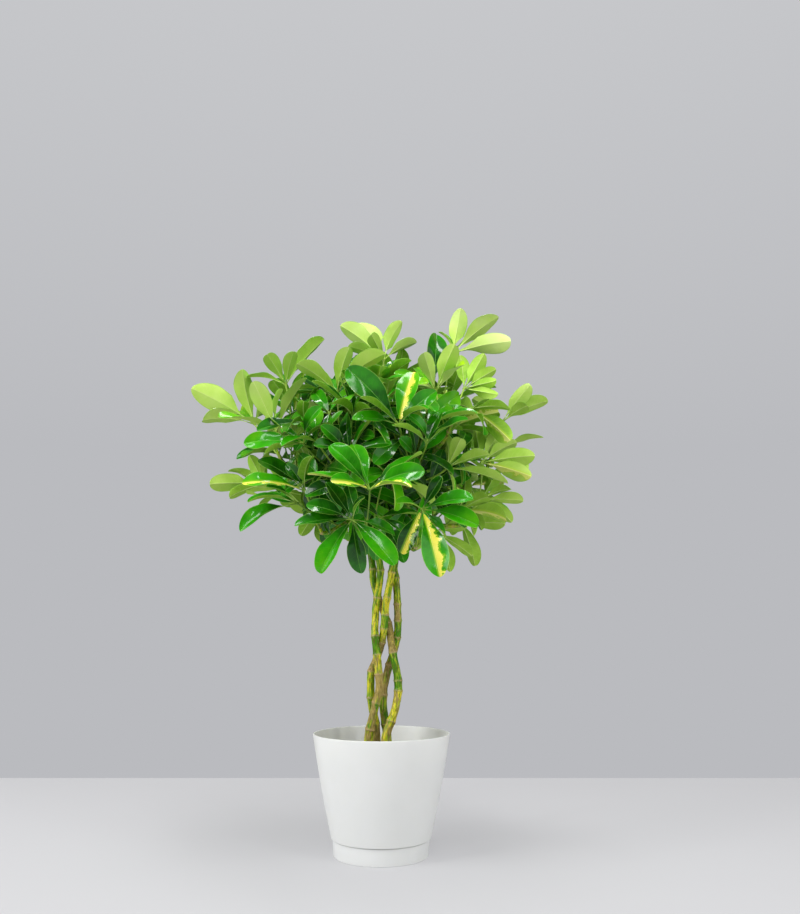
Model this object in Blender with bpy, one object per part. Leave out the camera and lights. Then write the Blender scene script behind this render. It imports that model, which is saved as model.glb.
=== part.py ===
"""A schefflera trained as a small tree on four braided stems, in a tapered white pot with its own saucer.

Metres, +Z up. The origin is the middle of the saucer's underside, and -Y faces the viewer.
"""

import math
import random

import bmesh
import bpy
from mathutils import Matrix, Vector
from mathutils.bvhtree import BVHTree

# Driving dimensions
RIM_RADIUS = 0.085
POT_HEIGHT = 0.141
POT_WALL = 0.0026
SAUCER_RADIUS = 0.059
SAUCER_HEIGHT = 0.0195
SAUCER_WALL = 0.0020
SOIL_BELOW_RIM = 0.026
STEM_RADIUS = 0.0048
LEAFLET_LENGTH = 0.076
LEAFLET_WIDTH_SHARE = 0.34
LEAF_COUNT = 80
SHOOT_COUNT = 18
AIR = 0.0003                # gap between pieces that rest against each other
POT_SIDES = 36
UP = Vector((0.0, 0.0, 1.0))


def clear_scene():
    for old in list(bpy.data.objects):
        bpy.data.objects.remove(old)


def plastic(name, colour, roughness):
    material = bpy.data.materials.new(name)
    material.use_nodes = True
    shader = material.node_tree.nodes["Principled BSDF"]
    shader.inputs["Base Color"].default_value = (*colour, 1.0)
    shader.inputs["Roughness"].default_value = roughness
    shader.inputs["Metallic"].default_value = 0.0
    material.diffuse_color = (*colour, 1.0)
    return material


def place(name, mesh, material, crease=40.0):
    """Puts a finished mesh in the scene as one named piece, shaded smooth up to the crease angle."""
    part = bpy.data.objects.new(name, mesh)
    bpy.context.scene.collection.objects.link(part)
    mesh.materials.clear()
    mesh.materials.append(material)
    mesh.shade_smooth()
    mesh.set_sharp_from_angle(angle=math.radians(crease))
    return part


def mesh_of(name, points, faces):
    mesh = bpy.data.meshes.new(name)
    mesh.from_pydata([tuple(point) for point in points], [], faces)
    mesh.validate()
    return mesh


def turned(name, profile, sides, lift=None):
    """A solid of revolution. The profile runs from the axis underneath, up the outside, back to the axis."""
    points = []
    rings = []
    for radius, height in profile:
        if radius == 0.0:
            rings.append([len(points)])
            points.append(Vector((0.0, 0.0, height)))
            continue
        rings.append(list(range(len(points), len(points) + sides)))
        for side in range(sides):
            angle = math.tau * side / sides
            extra = lift(radius, height, angle) if lift else 0.0
            points.append(Vector((radius * math.cos(angle), radius * math.sin(angle), height + extra)))
    faces = []
    for lower, upper in zip(rings, rings[1:]):
        for side in range(sides):
            after = (side + 1) % sides
            if len(lower) == 1:
                faces.append((lower[0], upper[after], upper[side]))
            elif len(upper) == 1:
                faces.append((lower[side], lower[after], upper[0]))
            else:
                faces.append((lower[side], lower[after], upper[after], upper[side]))
    return mesh_of(name, points, faces)


# Saucer: a shallow dish that the pot's foot stands in

SAUCER_FLOOR = 0.0025
SAUCER_FOOT_RADIUS = 0.0573
EDGE = 0.0008


def saucer_mesh():
    inside_top = SAUCER_RADIUS - SAUCER_WALL
    inside_foot = SAUCER_FOOT_RADIUS - SAUCER_WALL
    profile = [
        (0.0, 0.0),
        (SAUCER_FOOT_RADIUS - EDGE, 0.0),
        (SAUCER_FOOT_RADIUS, EDGE),
        (SAUCER_RADIUS, SAUCER_HEIGHT - EDGE),
        (SAUCER_RADIUS - EDGE / 2, SAUCER_HEIGHT),
        (inside_top, SAUCER_HEIGHT),
        (inside_foot, SAUCER_FLOOR),
        (0.0, SAUCER_FLOOR),
    ]
    return turned("saucer", profile, POT_SIDES)


# Pot: one moulded shell, with a stepped foot inside the saucer and four drain holes

GROOVE = 0.0008
FOOT_CLEARANCE = 0.0005
LEDGE_HEIGHT = SAUCER_HEIGHT + GROOVE
LEDGE_RADIUS = 0.0606
WALL_BOW = 0.0012
POT_FOOT = SAUCER_FLOOR + AIR
FOOT_RADIUS = SAUCER_FOOT_RADIUS - SAUCER_WALL - FOOT_CLEARANCE
SKIRT_RADIUS = SAUCER_RADIUS - SAUCER_WALL - FOOT_CLEARANCE
FLOOR_THICKNESS = 0.0030
POT_FLOOR = POT_FOOT + FLOOR_THICKNESS
DRAIN_RADIUS = 0.0045
DRAIN_CIRCLE = 0.030
DRAIN_COUNT = 4


def wall_radius(height):
    """The pot's outer radius above the ledge: two straight runs that bow out where they meet, half way up."""
    share = (height - LEDGE_HEIGHT) / (POT_HEIGHT - LEDGE_HEIGHT)
    return LEDGE_RADIUS + (RIM_RADIUS - LEDGE_RADIUS) * share + WALL_BOW * (1 - abs(2 * share - 1))


def pot_mesh():
    middle = (LEDGE_HEIGHT + POT_HEIGHT) / 2
    inner_foot = FOOT_RADIUS - POT_WALL
    step_height = LEDGE_HEIGHT + POT_WALL
    profile = [
        (0.0, POT_FOOT),
        (FOOT_RADIUS, POT_FOOT),
        (SKIRT_RADIUS, LEDGE_HEIGHT),
        (LEDGE_RADIUS, LEDGE_HEIGHT),
        (wall_radius(middle), middle),
        (RIM_RADIUS, POT_HEIGHT - EDGE),
        (RIM_RADIUS - EDGE, POT_HEIGHT),
        (RIM_RADIUS - POT_WALL, POT_HEIGHT),
        (wall_radius(middle) - POT_WALL, middle),
        (wall_radius(step_height) - POT_WALL, step_height + EDGE),
        (SKIRT_RADIUS - POT_WALL, step_height),
        (inner_foot, POT_FLOOR),
        (0.0, POT_FLOOR),
    ]
    return turned("pot", profile, POT_SIDES)


def drain_cutter():
    """Four short pegs, joined in one mesh, that cut the drain holes."""
    tool = bmesh.new()
    for hole in range(DRAIN_COUNT):
        angle = math.tau * (hole + 0.5) / DRAIN_COUNT
        spot = Vector((math.cos(angle), math.sin(angle), 0.0)) * DRAIN_CIRCLE
        spot.z = POT_FOOT + FLOOR_THICKNESS / 2
        bmesh.ops.create_cone(
            tool, cap_ends=True, segments=8, radius1=DRAIN_RADIUS, radius2=DRAIN_RADIUS,
            depth=FLOOR_THICKNESS * 3, matrix=Matrix.Translation(spot),
        )
    mesh = bpy.data.meshes.new("drain_pegs")
    tool.to_mesh(mesh)
    tool.free()
    return mesh


def cut(part, cutter_mesh):
    cutter = bpy.data.objects.new(cutter_mesh.name, cutter_mesh)
    bpy.context.scene.collection.objects.link(cutter)
    cutter.hide_render = True
    cutter.display_type = "WIRE"
    hole = part.modifiers.new("holes", "BOOLEAN")
    hole.operation = "DIFFERENCE"
    hole.object = cutter
    return cutter


# Braided stems: four stems, each through hand-set points, crossing over and under

# x, y, z in millimetres, from under the soil up into the crown
STEM_PATHS = {
    "stem_front_left": [
        (-18, -5, 90), (-16, -6, 134), (-12, -8, 156), (-8, -9, 173), (-3, -9, 194), (-4, -9, 216),
        (-6, -9.5, 236), (-8, -9, 252), (-9, -6, 266), (-8.5, -2.5, 281), (-8, -2, 295), (-5, -3.5, 314),
        (-3, -5, 330), (-3, -7, 348), (-14, -16, 400), (-31, -29, 455), (-44, -38, 500),
    ],
    "stem_front_right": [
        (3, -8, 90), (5, -9, 134), (12, -8, 156), (16.5, -7, 169), (20, -4, 186), (20.5, -3, 201),
        (18.5, -4, 216), (15, -5.5, 232), (12.5, -4, 245), (11, 0, 255), (9.5, 5, 267), (5, 7, 281),
        (-1, 9.5, 295), (-8, 9, 314), (-12, 6, 330), (-13, 6, 348), (-22, 15, 400), (-38, 27, 450),
        (-52, 36, 488),
    ],
    "stem_back_left": [
        (-8, 8, 90), (-7, 9, 134), (-9, 6, 156), (-12.5, 3.5, 173), (-14, 2, 192), (-13.5, 1.5, 212),
        (-9.5, 2.5, 224), (-5, 3, 235), (-1, 1.5, 249), (2, -3.5, 264), (3.5, -6, 280), (4.5, -7, 295),
        (7.5, -6, 312), (10.5, -5, 328), (13.5, -6, 346), (23, -15, 400), (38, -27, 456), (49, -36, 506),
    ],
    "stem_back_right": [
        (9, 9, 90), (7, 9, 134), (4, 8, 156), (2, 5, 171), (2, 6, 190), (5.5, 6.5, 208), (9, 7, 221),
        (13.5, 7, 235), (18, 6, 251), (20, 4, 268), (20, 3, 284), (19.5, 3, 300), (18.5, 4, 318),
        (17, 6, 334), (16, 8, 350), (26, 18, 402), (41, 31, 452), (54, 42, 492),
    ],
}
STEM_SIDES = 7
STEM_RINGS = 20
STEM_FOOT_SWELL = 0.0009
STEM_TOP_TAPER = 0.0010
CURVE_PIECES = 12
MM = 0.001


def smooth_path(points, steps):
    """Evenly spaced places along a smooth curve through the points."""
    padded = [points[0] * 2 - points[1], *points, points[-1] * 2 - points[-2]]
    fine = []
    for a, b, c, d in zip(padded, padded[1:], padded[2:], padded[3:]):
        for piece in range(CURVE_PIECES):
            t = piece / CURVE_PIECES
            fine.append(
                0.5 * (2 * b + (c - a) * t + (2 * a - 5 * b + 4 * c - d) * t * t
                       + (3 * b - a - 3 * c + d) * t * t * t)
            )
    fine.append(points[-1])
    lengths = [0.0]
    for here, after in zip(fine, fine[1:]):
        lengths.append(lengths[-1] + (after - here).length)
    path = []
    at = 0
    for step in range(steps + 1):
        goal = lengths[-1] * step / steps
        while at < len(fine) - 2 and lengths[at + 1] < goal:
            at += 1
        span = max(lengths[at + 1] - lengths[at], 1e-9)
        path.append(fine[at].lerp(fine[at + 1], min(1.0, (goal - lengths[at]) / span)))
    return path


def arch(start, first_pull, last_pull, end, steps):
    """Places along a cubic arch from start to end."""
    path = []
    for step in range(steps + 1):
        t = step / steps
        u = 1.0 - t
        path.append(start * u**3 + first_pull * (3 * u * u * t) + last_pull * (3 * u * t * t) + end * t**3)
    return path


def tangents(path):
    around = [path[0], *path, path[-1]]
    return [(after - before).normalized() for before, after in zip(around, around[2:])]


def tube(path, radii, sides, lid=True):
    """A tube of polygon rings along a path, without twist; its top end is left open where lid is False."""
    ways = tangents(path)
    side_way = ways[0].orthogonal().normalized()
    points = []
    for place_on_path, way, radius in zip(path, ways, radii):
        side_way = (side_way - way * side_way.dot(way)).normalized()
        other_way = way.cross(side_way)
        for side in range(sides):
            angle = math.tau * side / sides
            points.append(
                place_on_path + (side_way * math.cos(angle) + other_way * math.sin(angle)) * radius
            )
    faces = [tuple(reversed(range(sides)))]
    for ring in range(len(path) - 1):
        for side in range(sides):
            after = (side + 1) % sides
            low = ring * sides
            high = low + sides
            faces.append((low + side, low + after, high + after, high + side))
    if lid:
        top = (len(path) - 1) * sides
        faces.append(tuple(range(top, top + sides)))
    return points, faces


def stem_path(name, steps=STEM_RINGS):
    return smooth_path([Vector(point) * MM for point in STEM_PATHS[name]], steps)


def stem_radius(share):
    """Thickest in the soil, thinnest at the top."""
    return STEM_RADIUS + STEM_FOOT_SWELL * max(0.0, 1 - 5 * share) - STEM_TOP_TAPER * share


def stem_tube(name, grow=0.0):
    path = stem_path(name)
    radii = [stem_radius(ring / STEM_RINGS) + grow for ring in range(STEM_RINGS + 1)]
    if grow:
        path[0] = path[0] - (path[1] - path[0]).normalized() * grow
    return tube(path, radii, STEM_SIDES)


# Soil: a tapered plug that fills the pot, with a plain hole for each stem

SOIL_TOP = POT_HEIGHT - SOIL_BELOW_RIM
SOIL_SHOULDER = 0.002
SOIL_LUMP = 0.0004
LUMP_PITCH = (75, 270)      # how fast a wave of the soil's top goes round per metre outwards, in radians
SOIL_SEED = 11


def soil_mesh():
    inner_foot = FOOT_RADIUS - POT_WALL - AIR
    step_height = LEDGE_HEIGHT + POT_WALL
    side_gap = POT_WALL + AIR
    rng = random.Random(SOIL_SEED)
    waves = [(rng.uniform(*LUMP_PITCH), rng.uniform(0, math.tau), rng.randint(2, 7)) for _ in range(5)]

    def lump(radius, height, angle):
        if height < SOIL_TOP:
            return 0.0
        return SOIL_LUMP * sum(math.sin(radius * pitch + phase + turns * angle)
                               for pitch, phase, turns in waves)

    shoulder = SOIL_TOP - SOIL_SHOULDER
    top_radius = wall_radius(shoulder) - side_gap
    profile = [
        (0.0, POT_FLOOR + AIR),
        (inner_foot, POT_FLOOR + AIR),
        (SKIRT_RADIUS - side_gap, step_height),
        (wall_radius(step_height) - side_gap, step_height + EDGE + AIR),
        (top_radius, shoulder),
        (top_radius * 0.8, SOIL_TOP),
        (top_radius * 0.5, SOIL_TOP + SOIL_SHOULDER / 2),
        (0.0, SOIL_TOP + SOIL_SHOULDER),
    ]
    return turned("soil", profile, POT_SIDES, lump)


def stem_holes():
    """Cutters for the soil: each stem's own shape, a little larger all round."""
    cutters = []
    for name in STEM_PATHS:
        points, faces = stem_tube(name, grow=AIR)
        cutters.append(mesh_of(name + "_hole", points, faces))
    return cutters


# Crown: where each umbrella leaf stands, and how it faces

# Leaves placed by eye from the front. Each has its hub in millimetres, the azimuth and rise of the way
# its face looks, and its leaflets: angle in the front view, lean towards the viewer, length in millimetres
FRONT_LEAVES = [
    ((-31, -150, 388), (262, 36), [(187, 15, 64), (238, 5, 72), (279, -8, 62), (311, 20, 78), (343, -25, 56),
                                   (160, 22, 58), (72, 45, 55), (123, 5, 52)]),
    ((-11, -165, 420), (268, 42), [(164, 10, 74), (129, 0, 70), (107, -12, 62), (184, 48, 60), (5, 40, 62),
                                   (20, 10, 68), (38, -8, 76)]),
    ((48, -140, 401), (278, 26), [(345, 10, 70), (12, 12, 66), (68, 50, 58), (178, 58, 56), (243, 0, 60),
                                  (282, 15, 82), (326, -30, 60)]),
    ((22, -135, 501), (262, 44), [(131, 12, 90), (150, 38, 66), (172, 25, 60), (77, -10, 72), (38, 25, 62),
                                  (22, 52, 56)]),
    ((93, -20, 627), (75, 52), [(78, -10, 68), (43, 0, 82), (9, 6, 78), (108, -36, 58), (60, -46, 66)]),
    ((67, -35, 575), (268, 42), [(84, -12, 84), (160, 20, 56), (118, -30, 56)]),
    ((1, 0, 625), (98, 56), [(137, -7, 80), (117, -24, 76), (73, -20, 68), (46, -26, 62), (168, 20, 56),
                             (125, 57, 52)]),
    ((-56, -75, 557), (120, 66), [(75, 30, 64), (49, -10, 88), (146, 33, 64), (104, -50, 60),
                                  (126, -28, 60)]),
    ((-127, -30, 581), (125, 58), [(120, 42, 54), (78, 40, 54), (52, -8, 82), (161, -18, 60),
                                   (100, -55, 58)]),
    ((-133, -60, 511), (135, 60), [(115, 18, 72), (58, 11, 80), (96, -22, 68), (165, 16, 76),
                                   (76, -40, 64)]),
    ((-171, 0, 535), (140, 50), [(151, 0, 97), (174, 14, 86), (101, 15, 75), (128, -36, 60),
                                 (74, -50, 56)]),
    ((-94, -100, 487), (256, 42), [(184, 10, 74), (205, 40, 60), (150, -12, 60), (71, 45, 56), (30, 30, 56)]),
    ((-90, -105, 428), (250, 48), [(169, 25, 74), (143, 2, 70), (131, 28, 60), (112, 8, 52), (70, 48, 56),
                                   (22, -45, 54)]),
    ((-105, -50, 421), (225, 38), [(203, 10, 82), (180, 26, 70), (168, -20, 80), (136, 34, 52)]),
    ((-161, 20, 457), (108, 36), [(177, 8, 72), (152, -10, 54), (205, 18, 50), (116, -24, 54),
                                  (86, -22, 50)]),
    ((158, 0, 537), (55, 50), [(50, 24, 66), (27, 0, 77), (12, 30, 68), (140, 10, 54)]),
    ((80, -88, 459), (20, 62), [(12, 35, 62), (345, 15, 78), (60, 48, 52), (318, 40, 60), (100, 10, 56),
                                  (30, -25, 64)]),
    ((128, -22, 478), (80, 36), [(5, 8, 74), (343, 6, 67), (34, -14, 60), (62, -20, 58), (96, -20, 54)]),
    ((162, 50, 513), (50, 55), [(12, 8, 62), (345, -30, 54), (316, 10, 50)]),
    ((97, -40, 412), (60, 44), [(338, -12, 86), (354, 13, 86), (12, -32, 62), (20, 38, 54), (306, 25, 56),
                                 (75, 0, 52)]),
    ((68, -30, 386), (60, 34), [(330, -2, 56), (292, -18, 52), (15, 6, 54), (215, -5, 36)]),
    ((105, 20, 404), (70, 38), [(292, -18, 60), (2, 5, 58), (36, 14, 54)]),
    ((105, -52, 569), (78, 30), [(61, -12, 56), (36, -4, 50), (12, 6, 44), (344, 12, 44), (92, -16, 54)]),
    ((110, -84, 534), (60, 46), [(316, 12, 66), (356, 30, 62), (280, 40, 54), (36, -50, 54)]),
    ((52, -100, 506), (275, 44), [(66, -20, 70), (42, -20, 74), (26, 0, 66), (8, 28, 70), (104, -30, 58),
                                  (162, 50, 54)]),
    ((54, -130, 481), (270, 46), [(167, 43, 60), (122, 40, 58), (53, -38, 60), (27, 34, 60), (94, -35, 58)]),
    ((-75, -115, 485), (242, 48), [(62, 22, 52), (95, -20, 56), (150, 10, 60), (130, -34, 56),
                                   (190, 40, 54)]),
    ((-1, -100, 397), (265, 50), [(305, 20, 66), (335, 0, 58), (264, -5, 50), (10, -30, 56), (150, 10, 50)]),
    ((-36, -120, 468), (255, 46), [(100, 0, 56), (60, 10, 56), (140, 10, 58), (178, 28, 56), (20, 30, 56)]),
    ((129, -10, 432), (60, 40), [(357, 12, 52), (22, 18, 46), (60, -20, 50), (329, -14, 50)]),
    ((67, -90, 555), (95, 50), [(110, 38, 58), (66, 30, 64), (36, 42, 58), (138, -46, 56), (85, -40, 56)]),
    ((-62, 8, 574), (100, 72), [(15, 0, 60), (165, 0, 60), (205, 20, 56), (335, 20, 56), (60, -60, 54),
                                (125, -60, 54)]),
]
CROWN_MIDDLE = Vector((-0.012, 0.006, 0.492))
CROWN_REACH = Vector((0.144, 0.160, 0.106))
GOLDEN_ANGLE = math.pi * (3 - math.sqrt(5))
LATTICE = 150
LEAST_SPACING = 0.047
INNER_DEPTH = 0.62          # the inner layer's size beside the outer one
FRONT_FROM = -0.25          # the lattice's leaves from here forward stand deeper, behind those placed by eye
FRONT_DEPTH = 0.76
BARE_BELOW = -0.52          # no leaf lower than this on the lattice's ball, where the stems come in
LOW_RISE = 34.0
HIGH_RISE = 74.0
LOW_CUP = -8.0
HIGH_CUP = 42.0
CROWN_SEED = 23


def direction(azimuth, rise):
    azimuth = math.radians(azimuth)
    rise = math.radians(rise)
    return Vector((math.cos(azimuth) * math.cos(rise), math.sin(azimuth) * math.cos(rise), math.sin(rise)))


def face_plane(face):
    right = UP.cross(face).normalized()
    return right, face.cross(right)


def leaf_by_eye(hub, face, leaflets):
    """A leaf whose leaflets point the given ways in the front view."""
    face = direction(*face)
    right, rise = face_plane(face)
    slots = []
    for angle, lean, length in leaflets:
        angle = math.radians(angle)
        lean = math.radians(lean)
        way = Vector((math.cos(lean) * math.cos(angle), -math.sin(lean), math.cos(lean) * math.sin(angle)))
        turn = math.atan2(way.dot(rise), way.dot(right))
        slots.append((turn, math.degrees(math.asin(way.dot(face))), length * MM))
    return {"hub": Vector(hub) * MM, "face": face, "slots": slots, "leaflets": []}


def even_leaf(hub, face, cup, count, length, turn):
    """A leaf whose leaflets stand evenly round it."""
    slots = [(turn + math.tau * slot / count, cup, length) for slot in range(count)]
    return {"hub": hub, "face": face, "slots": slots, "leaflets": []}


def crown_leaves(rng):
    """The leaves placed by eye, then more on a golden-angle lattice wherever there is room."""
    leaves = [leaf_by_eye(*row) for row in FRONT_LEAVES]
    for depth in (1.0, INNER_DEPTH):
        for step in range(LATTICE):
            level = 1 - 2 * (step + 0.5) / LATTICE
            around = step * GOLDEN_ANGLE
            ring = math.sqrt(1 - level * level)
            out = Vector((ring * math.cos(around), ring * math.sin(around), level))
            reach = depth * (FRONT_DEPTH if out.y < FRONT_FROM else 1.0)
            hub = CROWN_MIDDLE + Vector(a * b for a, b in zip(out, CROWN_REACH)) * reach
            room = LEAST_SPACING * rng.uniform(0.96, 1.2)
            if level < BARE_BELOW or any((hub - other["hub"]).length < room for other in leaves):
                continue
            # From the crown's underside to its top, leaves face up more and cup more
            height_share = (level + 1) / 2
            rise = LOW_RISE + (HIGH_RISE - LOW_RISE) * height_share + rng.uniform(-12, 12)
            azimuth = math.degrees(math.atan2(out.y, out.x)) + rng.uniform(-50, 50)
            cup = LOW_CUP + (HIGH_CUP - LOW_CUP) * height_share + rng.uniform(-10, 10)
            length = LEAFLET_LENGTH * rng.uniform(0.84, 1.02)
            leaves.append(even_leaf(hub, direction(azimuth, rise), cup, rng.choice((5, 6, 6)), length,
                                    rng.uniform(0, math.tau)))
            if len(leaves) == LEAF_COUNT:
                return leaves
    return leaves


# Shoots: each leafy shoot leaves one stem and carries the leaf stalks nearest to it

STALK_BACK = 0.050
SHOOT_RADIUS = 0.0025
SHOOT_TIP_RADIUS = 0.0018
SHOOT_SIDES = 5
SHOOT_STEPS = 5
SHOOT_OUT = 0.35            # shares of a shoot's run: how far it goes straight out, and ends rising
SHOOT_RISE = 0.30
FIRST_STEP = 0.8
SHOOT_SWAY = 0.9            # the furthest bend tried to get a shoot or a stalk past what is in its way
STALK_SWAY = 1.4
FIRST_LEAF_AT = 0.45
LAST_LEAF_AT = 0.94
FOOT_SLIDE = 0.35           # how far along its shoot a stalk's foot may slide, per unit of bend
STALK_RADIUS = 0.0012
STALK_SIDES = 3
STALK_STEPS = 3
STALK_OUT = 0.33            # share of a stalk's run that it goes straight at either end
STALK_SLANT = 1.4           # how much a stalk slants where it meets its leaf, from square to straight on
LOWEST_SHOOT = 0.385
GROUPING_ROUNDS = 12


def stem_place(path, height):
    """The place, the way and the share of the length on a stem's path at a height, at most its tip's."""
    for number, (here, after) in enumerate(zip(path, path[1:])):
        if here.z <= height <= after.z:
            part_way = (height - here.z) / (after.z - here.z)
            share = (number + part_way) / (len(path) - 1)
            return here.lerp(after, part_way), (after - here).normalized(), share
    return path[-1], (path[-1] - path[-2]).normalized(), 1.0


def stalk_foot(one):
    """Roughly where a leaf's stalk should start."""
    return one["hub"] - one["face"] * STALK_BACK


def grouped(leaves):
    """Leaves in SHOOT_COUNT near groups: far-apart seeds first, then a few rounds of moving to the mean."""
    feet = [stalk_foot(one) for one in leaves]
    middles = [feet[0]]
    while len(middles) < SHOOT_COUNT:
        middles.append(max(feet, key=lambda foot: min((foot - middle).length for middle in middles)))
    for _ in range(GROUPING_ROUNDS):
        groups = [[] for _ in middles]
        for number, foot in enumerate(feet):
            nearest = min(range(len(middles)), key=lambda m: (foot - middles[m]).length)
            groups[nearest].append(number)
        middles = [
            sum((feet[number] for number in group), Vector()) / len(group) if group else middle
            for group, middle in zip(groups, middles)
        ]
    return [(middle, group) for middle, group in zip(middles, groups) if group]


def crown_shoots(leaves, stems):
    """Gives each group of leaves a shoot on its nearest stem; the highest one goes on from the stem's tip."""
    by_stem = {name: [] for name in stems}
    for middle, group in grouped(leaves):
        def away(name):
            tip = stems[name][-1]
            return math.hypot(middle.x - tip.x, middle.y - tip.y)
        by_stem[min(stems, key=away)].append((middle, group))
    shoots = []
    for name, members in by_stem.items():
        members.sort(key=lambda member: member[0].z)
        tip = stems[name][-1]
        for rank, (middle, group) in enumerate(members):
            height = LOWEST_SHOOT + (tip.z - LOWEST_SHOOT) * rank / max(1, len(members) - 1)
            spot, way, share = stem_place(stems[name], height)
            if rank == len(members) - 1:
                out = (tip - stems[name][-2]).normalized()
                start = tip + out * AIR
            else:
                out = middle - spot
                out = (out - way * out.dot(way)).normalized()
                start = spot + out * (stem_radius(share) + AIR)
            shoots.append({"start": start, "out": out, "end": middle, "leaves": group})
    return shoots


def shoot_tube(shoot, bend):
    """The woody twig of a shoot: straight out of the stem at first, then up to the middle of its stalks."""
    run = (shoot["end"] - shoot["start"]).length
    first = shoot["start"] + (shoot["out"] * SHOOT_OUT + bend / 2) * run
    last = shoot["end"] + (bend / 3 - UP * SHOOT_RISE) * run
    path = arch(shoot["start"], first, last, shoot["end"], SHOOT_STEPS)
    path[1] = shoot["start"] + shoot["out"] * run * FIRST_STEP / SHOOT_STEPS
    thinning = (SHOOT_TIP_RADIUS - SHOOT_RADIUS) / SHOOT_STEPS
    points, faces = tube(path, [SHOOT_RADIUS + thinning * n for n in range(SHOOT_STEPS + 1)], SHOOT_SIDES)
    # The first ring is square to the way out of the stem, so that its flat end faces the stem
    for number in range(SHOOT_SIDES):
        points[number] -= shoot["out"] * (points[number] - shoot["start"]).dot(shoot["out"])
    return path, points, faces


def along(path, share):
    at = min(int(share * (len(path) - 1)), len(path) - 2)
    return path[at].lerp(path[at + 1], share * (len(path) - 1) - at)


def stalk_path(one, foot, bend):
    """A leaf stalk from inside its shoot up to the underside of the leaf's hub."""
    end = one["hub"] - one["face"] * HUB_BELOW
    run = (end - foot).length
    out = (end - foot).normalized()
    arrive = (one["face"] + out * STALK_SLANT).normalized()
    first = foot + (out * STALK_OUT + bend / 2) * run
    last = end + (bend / 4 - arrive * STALK_OUT) * run
    return arch(foot, first, last, end, STALK_STEPS)


# Leaflets: folded, arched blades round a small hub

STATIONS = (0.24, 0.60, 0.87)
BLADE_THICK = (0.0016, 0.0015, 0.0012)
WIDEST_LATE = 1.9           # 1 would put a blade's widest place at half its length
ROUNDNESS = 0.56
FOLD = 0.30                 # how far a blade's edges stand above its midrib, per half width
ARCH = 26.0                 # how far a blade bends down from root to tip, in degrees
ARCH_STEPS = 6
ARCH_ABOVE = 0.5            # share of the arch that lifts a blade's root above its cup
CUP_RANGE = (-50.0, 70.0)
HUB_RADIUS = 0.0032
HUB_ABOVE = 0.0012
HUB_BELOW = 0.0017
GUARD_RADIUS = 0.014
ROOM_SHARE = 0.7            # how much of the room between two blades' roots the blades may fill
LEAST_HALF_WIDTH = 0.0008
CORNER_GAP = math.radians(80)
CLEAR = 0.0012              # air kept round a blade when it is fitted among the others
TEST_FROM = 0.13            # share of its length from which a blade is tested, past the hub
TRIES = 48                  # draws made to find a blade a free place
BEND_TRIES = 160            # and to find a twig or a stalk a free way
SETTLE_STEPS = 5
SETTLE_STEP = 0.009         # how far a crowded leaf is drawn in towards the crown's middle each time
# How far a blade may be drawn from its slot at the first try, and how much further by the last
SPREAD = {"turn": (0.06, 0.32), "cup": (4, 34), "arch": (9, 24), "twist": (0.18, 0.7), "length": (0.04, 0)}
SHORTENING = 0.32


def blade_share(s):
    """Half-width along an obovate blade, 0 to 1: a narrow base, widest past the middle, a round tip."""
    return math.sin(math.pi * s**WIDEST_LATE) ** ROUNDNESS


def blade_frame(one, blade, s):
    """Middle, side way and upward way of a blade at a share s of its length."""
    right, rise = face_plane(one["face"])
    out = right * math.cos(blade["turn"]) + rise * math.sin(blade["turn"])
    side = one["face"].cross(out)
    middle = one["hub"].copy()
    for step in range(ARCH_STEPS):
        lift = blade["lift"] - blade["arch"] * s * (step + 0.5) / ARCH_STEPS
        middle += (out * math.cos(lift) + one["face"] * math.sin(lift)) * blade["length"] * s / ARCH_STEPS
    lift = blade["lift"] - blade["arch"] * s
    onward = out * math.cos(lift) + one["face"] * math.sin(lift)
    upward = onward.cross(side)
    twist = blade["twist"] * s
    return (middle, side * math.cos(twist) + upward * math.sin(twist),
            upward * math.cos(twist) - side * math.sin(twist))


def gap_beside(one, blade):
    """The turn from a blade to the nearest other blade of its leaf."""
    turns = [abs((other["turn"] - blade["turn"] + math.pi) % math.tau - math.pi)
             for other in one["leaflets"] if other is not blade]
    return min(turns, default=math.pi)


def blade_rings(one, blade, grow):
    """Left edge, ridge above, right edge and keel below, at each station, then the tip."""
    half = blade["length"] * LEAFLET_WIDTH_SHARE / 2
    reach = STATIONS[0] * blade["length"] * math.cos(blade["lift"])
    room = max(reach * math.sin(gap_beside(one, blade) / 2) * ROOM_SHARE, LEAST_HALF_WIDTH)
    rings = []
    for s, thick in zip(STATIONS, BLADE_THICK):
        middle, side, upward = blade_frame(one, blade, s)
        wide = half * blade_share(s)
        if s == STATIONS[0]:
            wide = min(wide, room)
        edge_lift = upward * wide * FOLD
        rings.append([
            middle - side * (wide + grow) + edge_lift,
            middle + upward * (thick / 2 + grow),
            middle + side * (wide + grow) + edge_lift,
            middle - upward * (thick / 2 + grow),
        ])
    tip_middle, _, tip_up = blade_frame(one, blade, 1.0)
    return rings, tip_middle


def blade_test(one, blade):
    """A slightly swollen copy of the free part of a blade, for finding what it would touch."""
    rings, tip = blade_rings(one, blade, CLEAR)
    spot, side, upward = blade_frame(one, blade, TEST_FROM)
    wide = ((rings[0][2] - rings[0][0]).length / 2 - CLEAR + HUB_RADIUS / 2) / 2
    root = [spot - side * wide + upward * wide * FOLD, spot + upward * CLEAR,
            spot + side * wide + upward * wide * FOLD, spot - upward * CLEAR]
    points = [*root, *(point for ring in rings for point in ring), tip]
    faces = [(3, 2, 1, 0)]
    for band in range(len(rings)):
        low = band * 4
        for corner in range(4):
            beside = (corner + 1) % 4
            faces.append((low + corner, low + 4 + corner, low + 4 + beside, low + beside))
    last = len(rings) * 4
    faces += [(last + corner, len(points) - 1, last + (corner + 1) % 4) for corner in range(4)]
    return points, faces


def bvh(points, faces):
    return BVHTree.FromPolygons([tuple(point) for point in points], faces)


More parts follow.
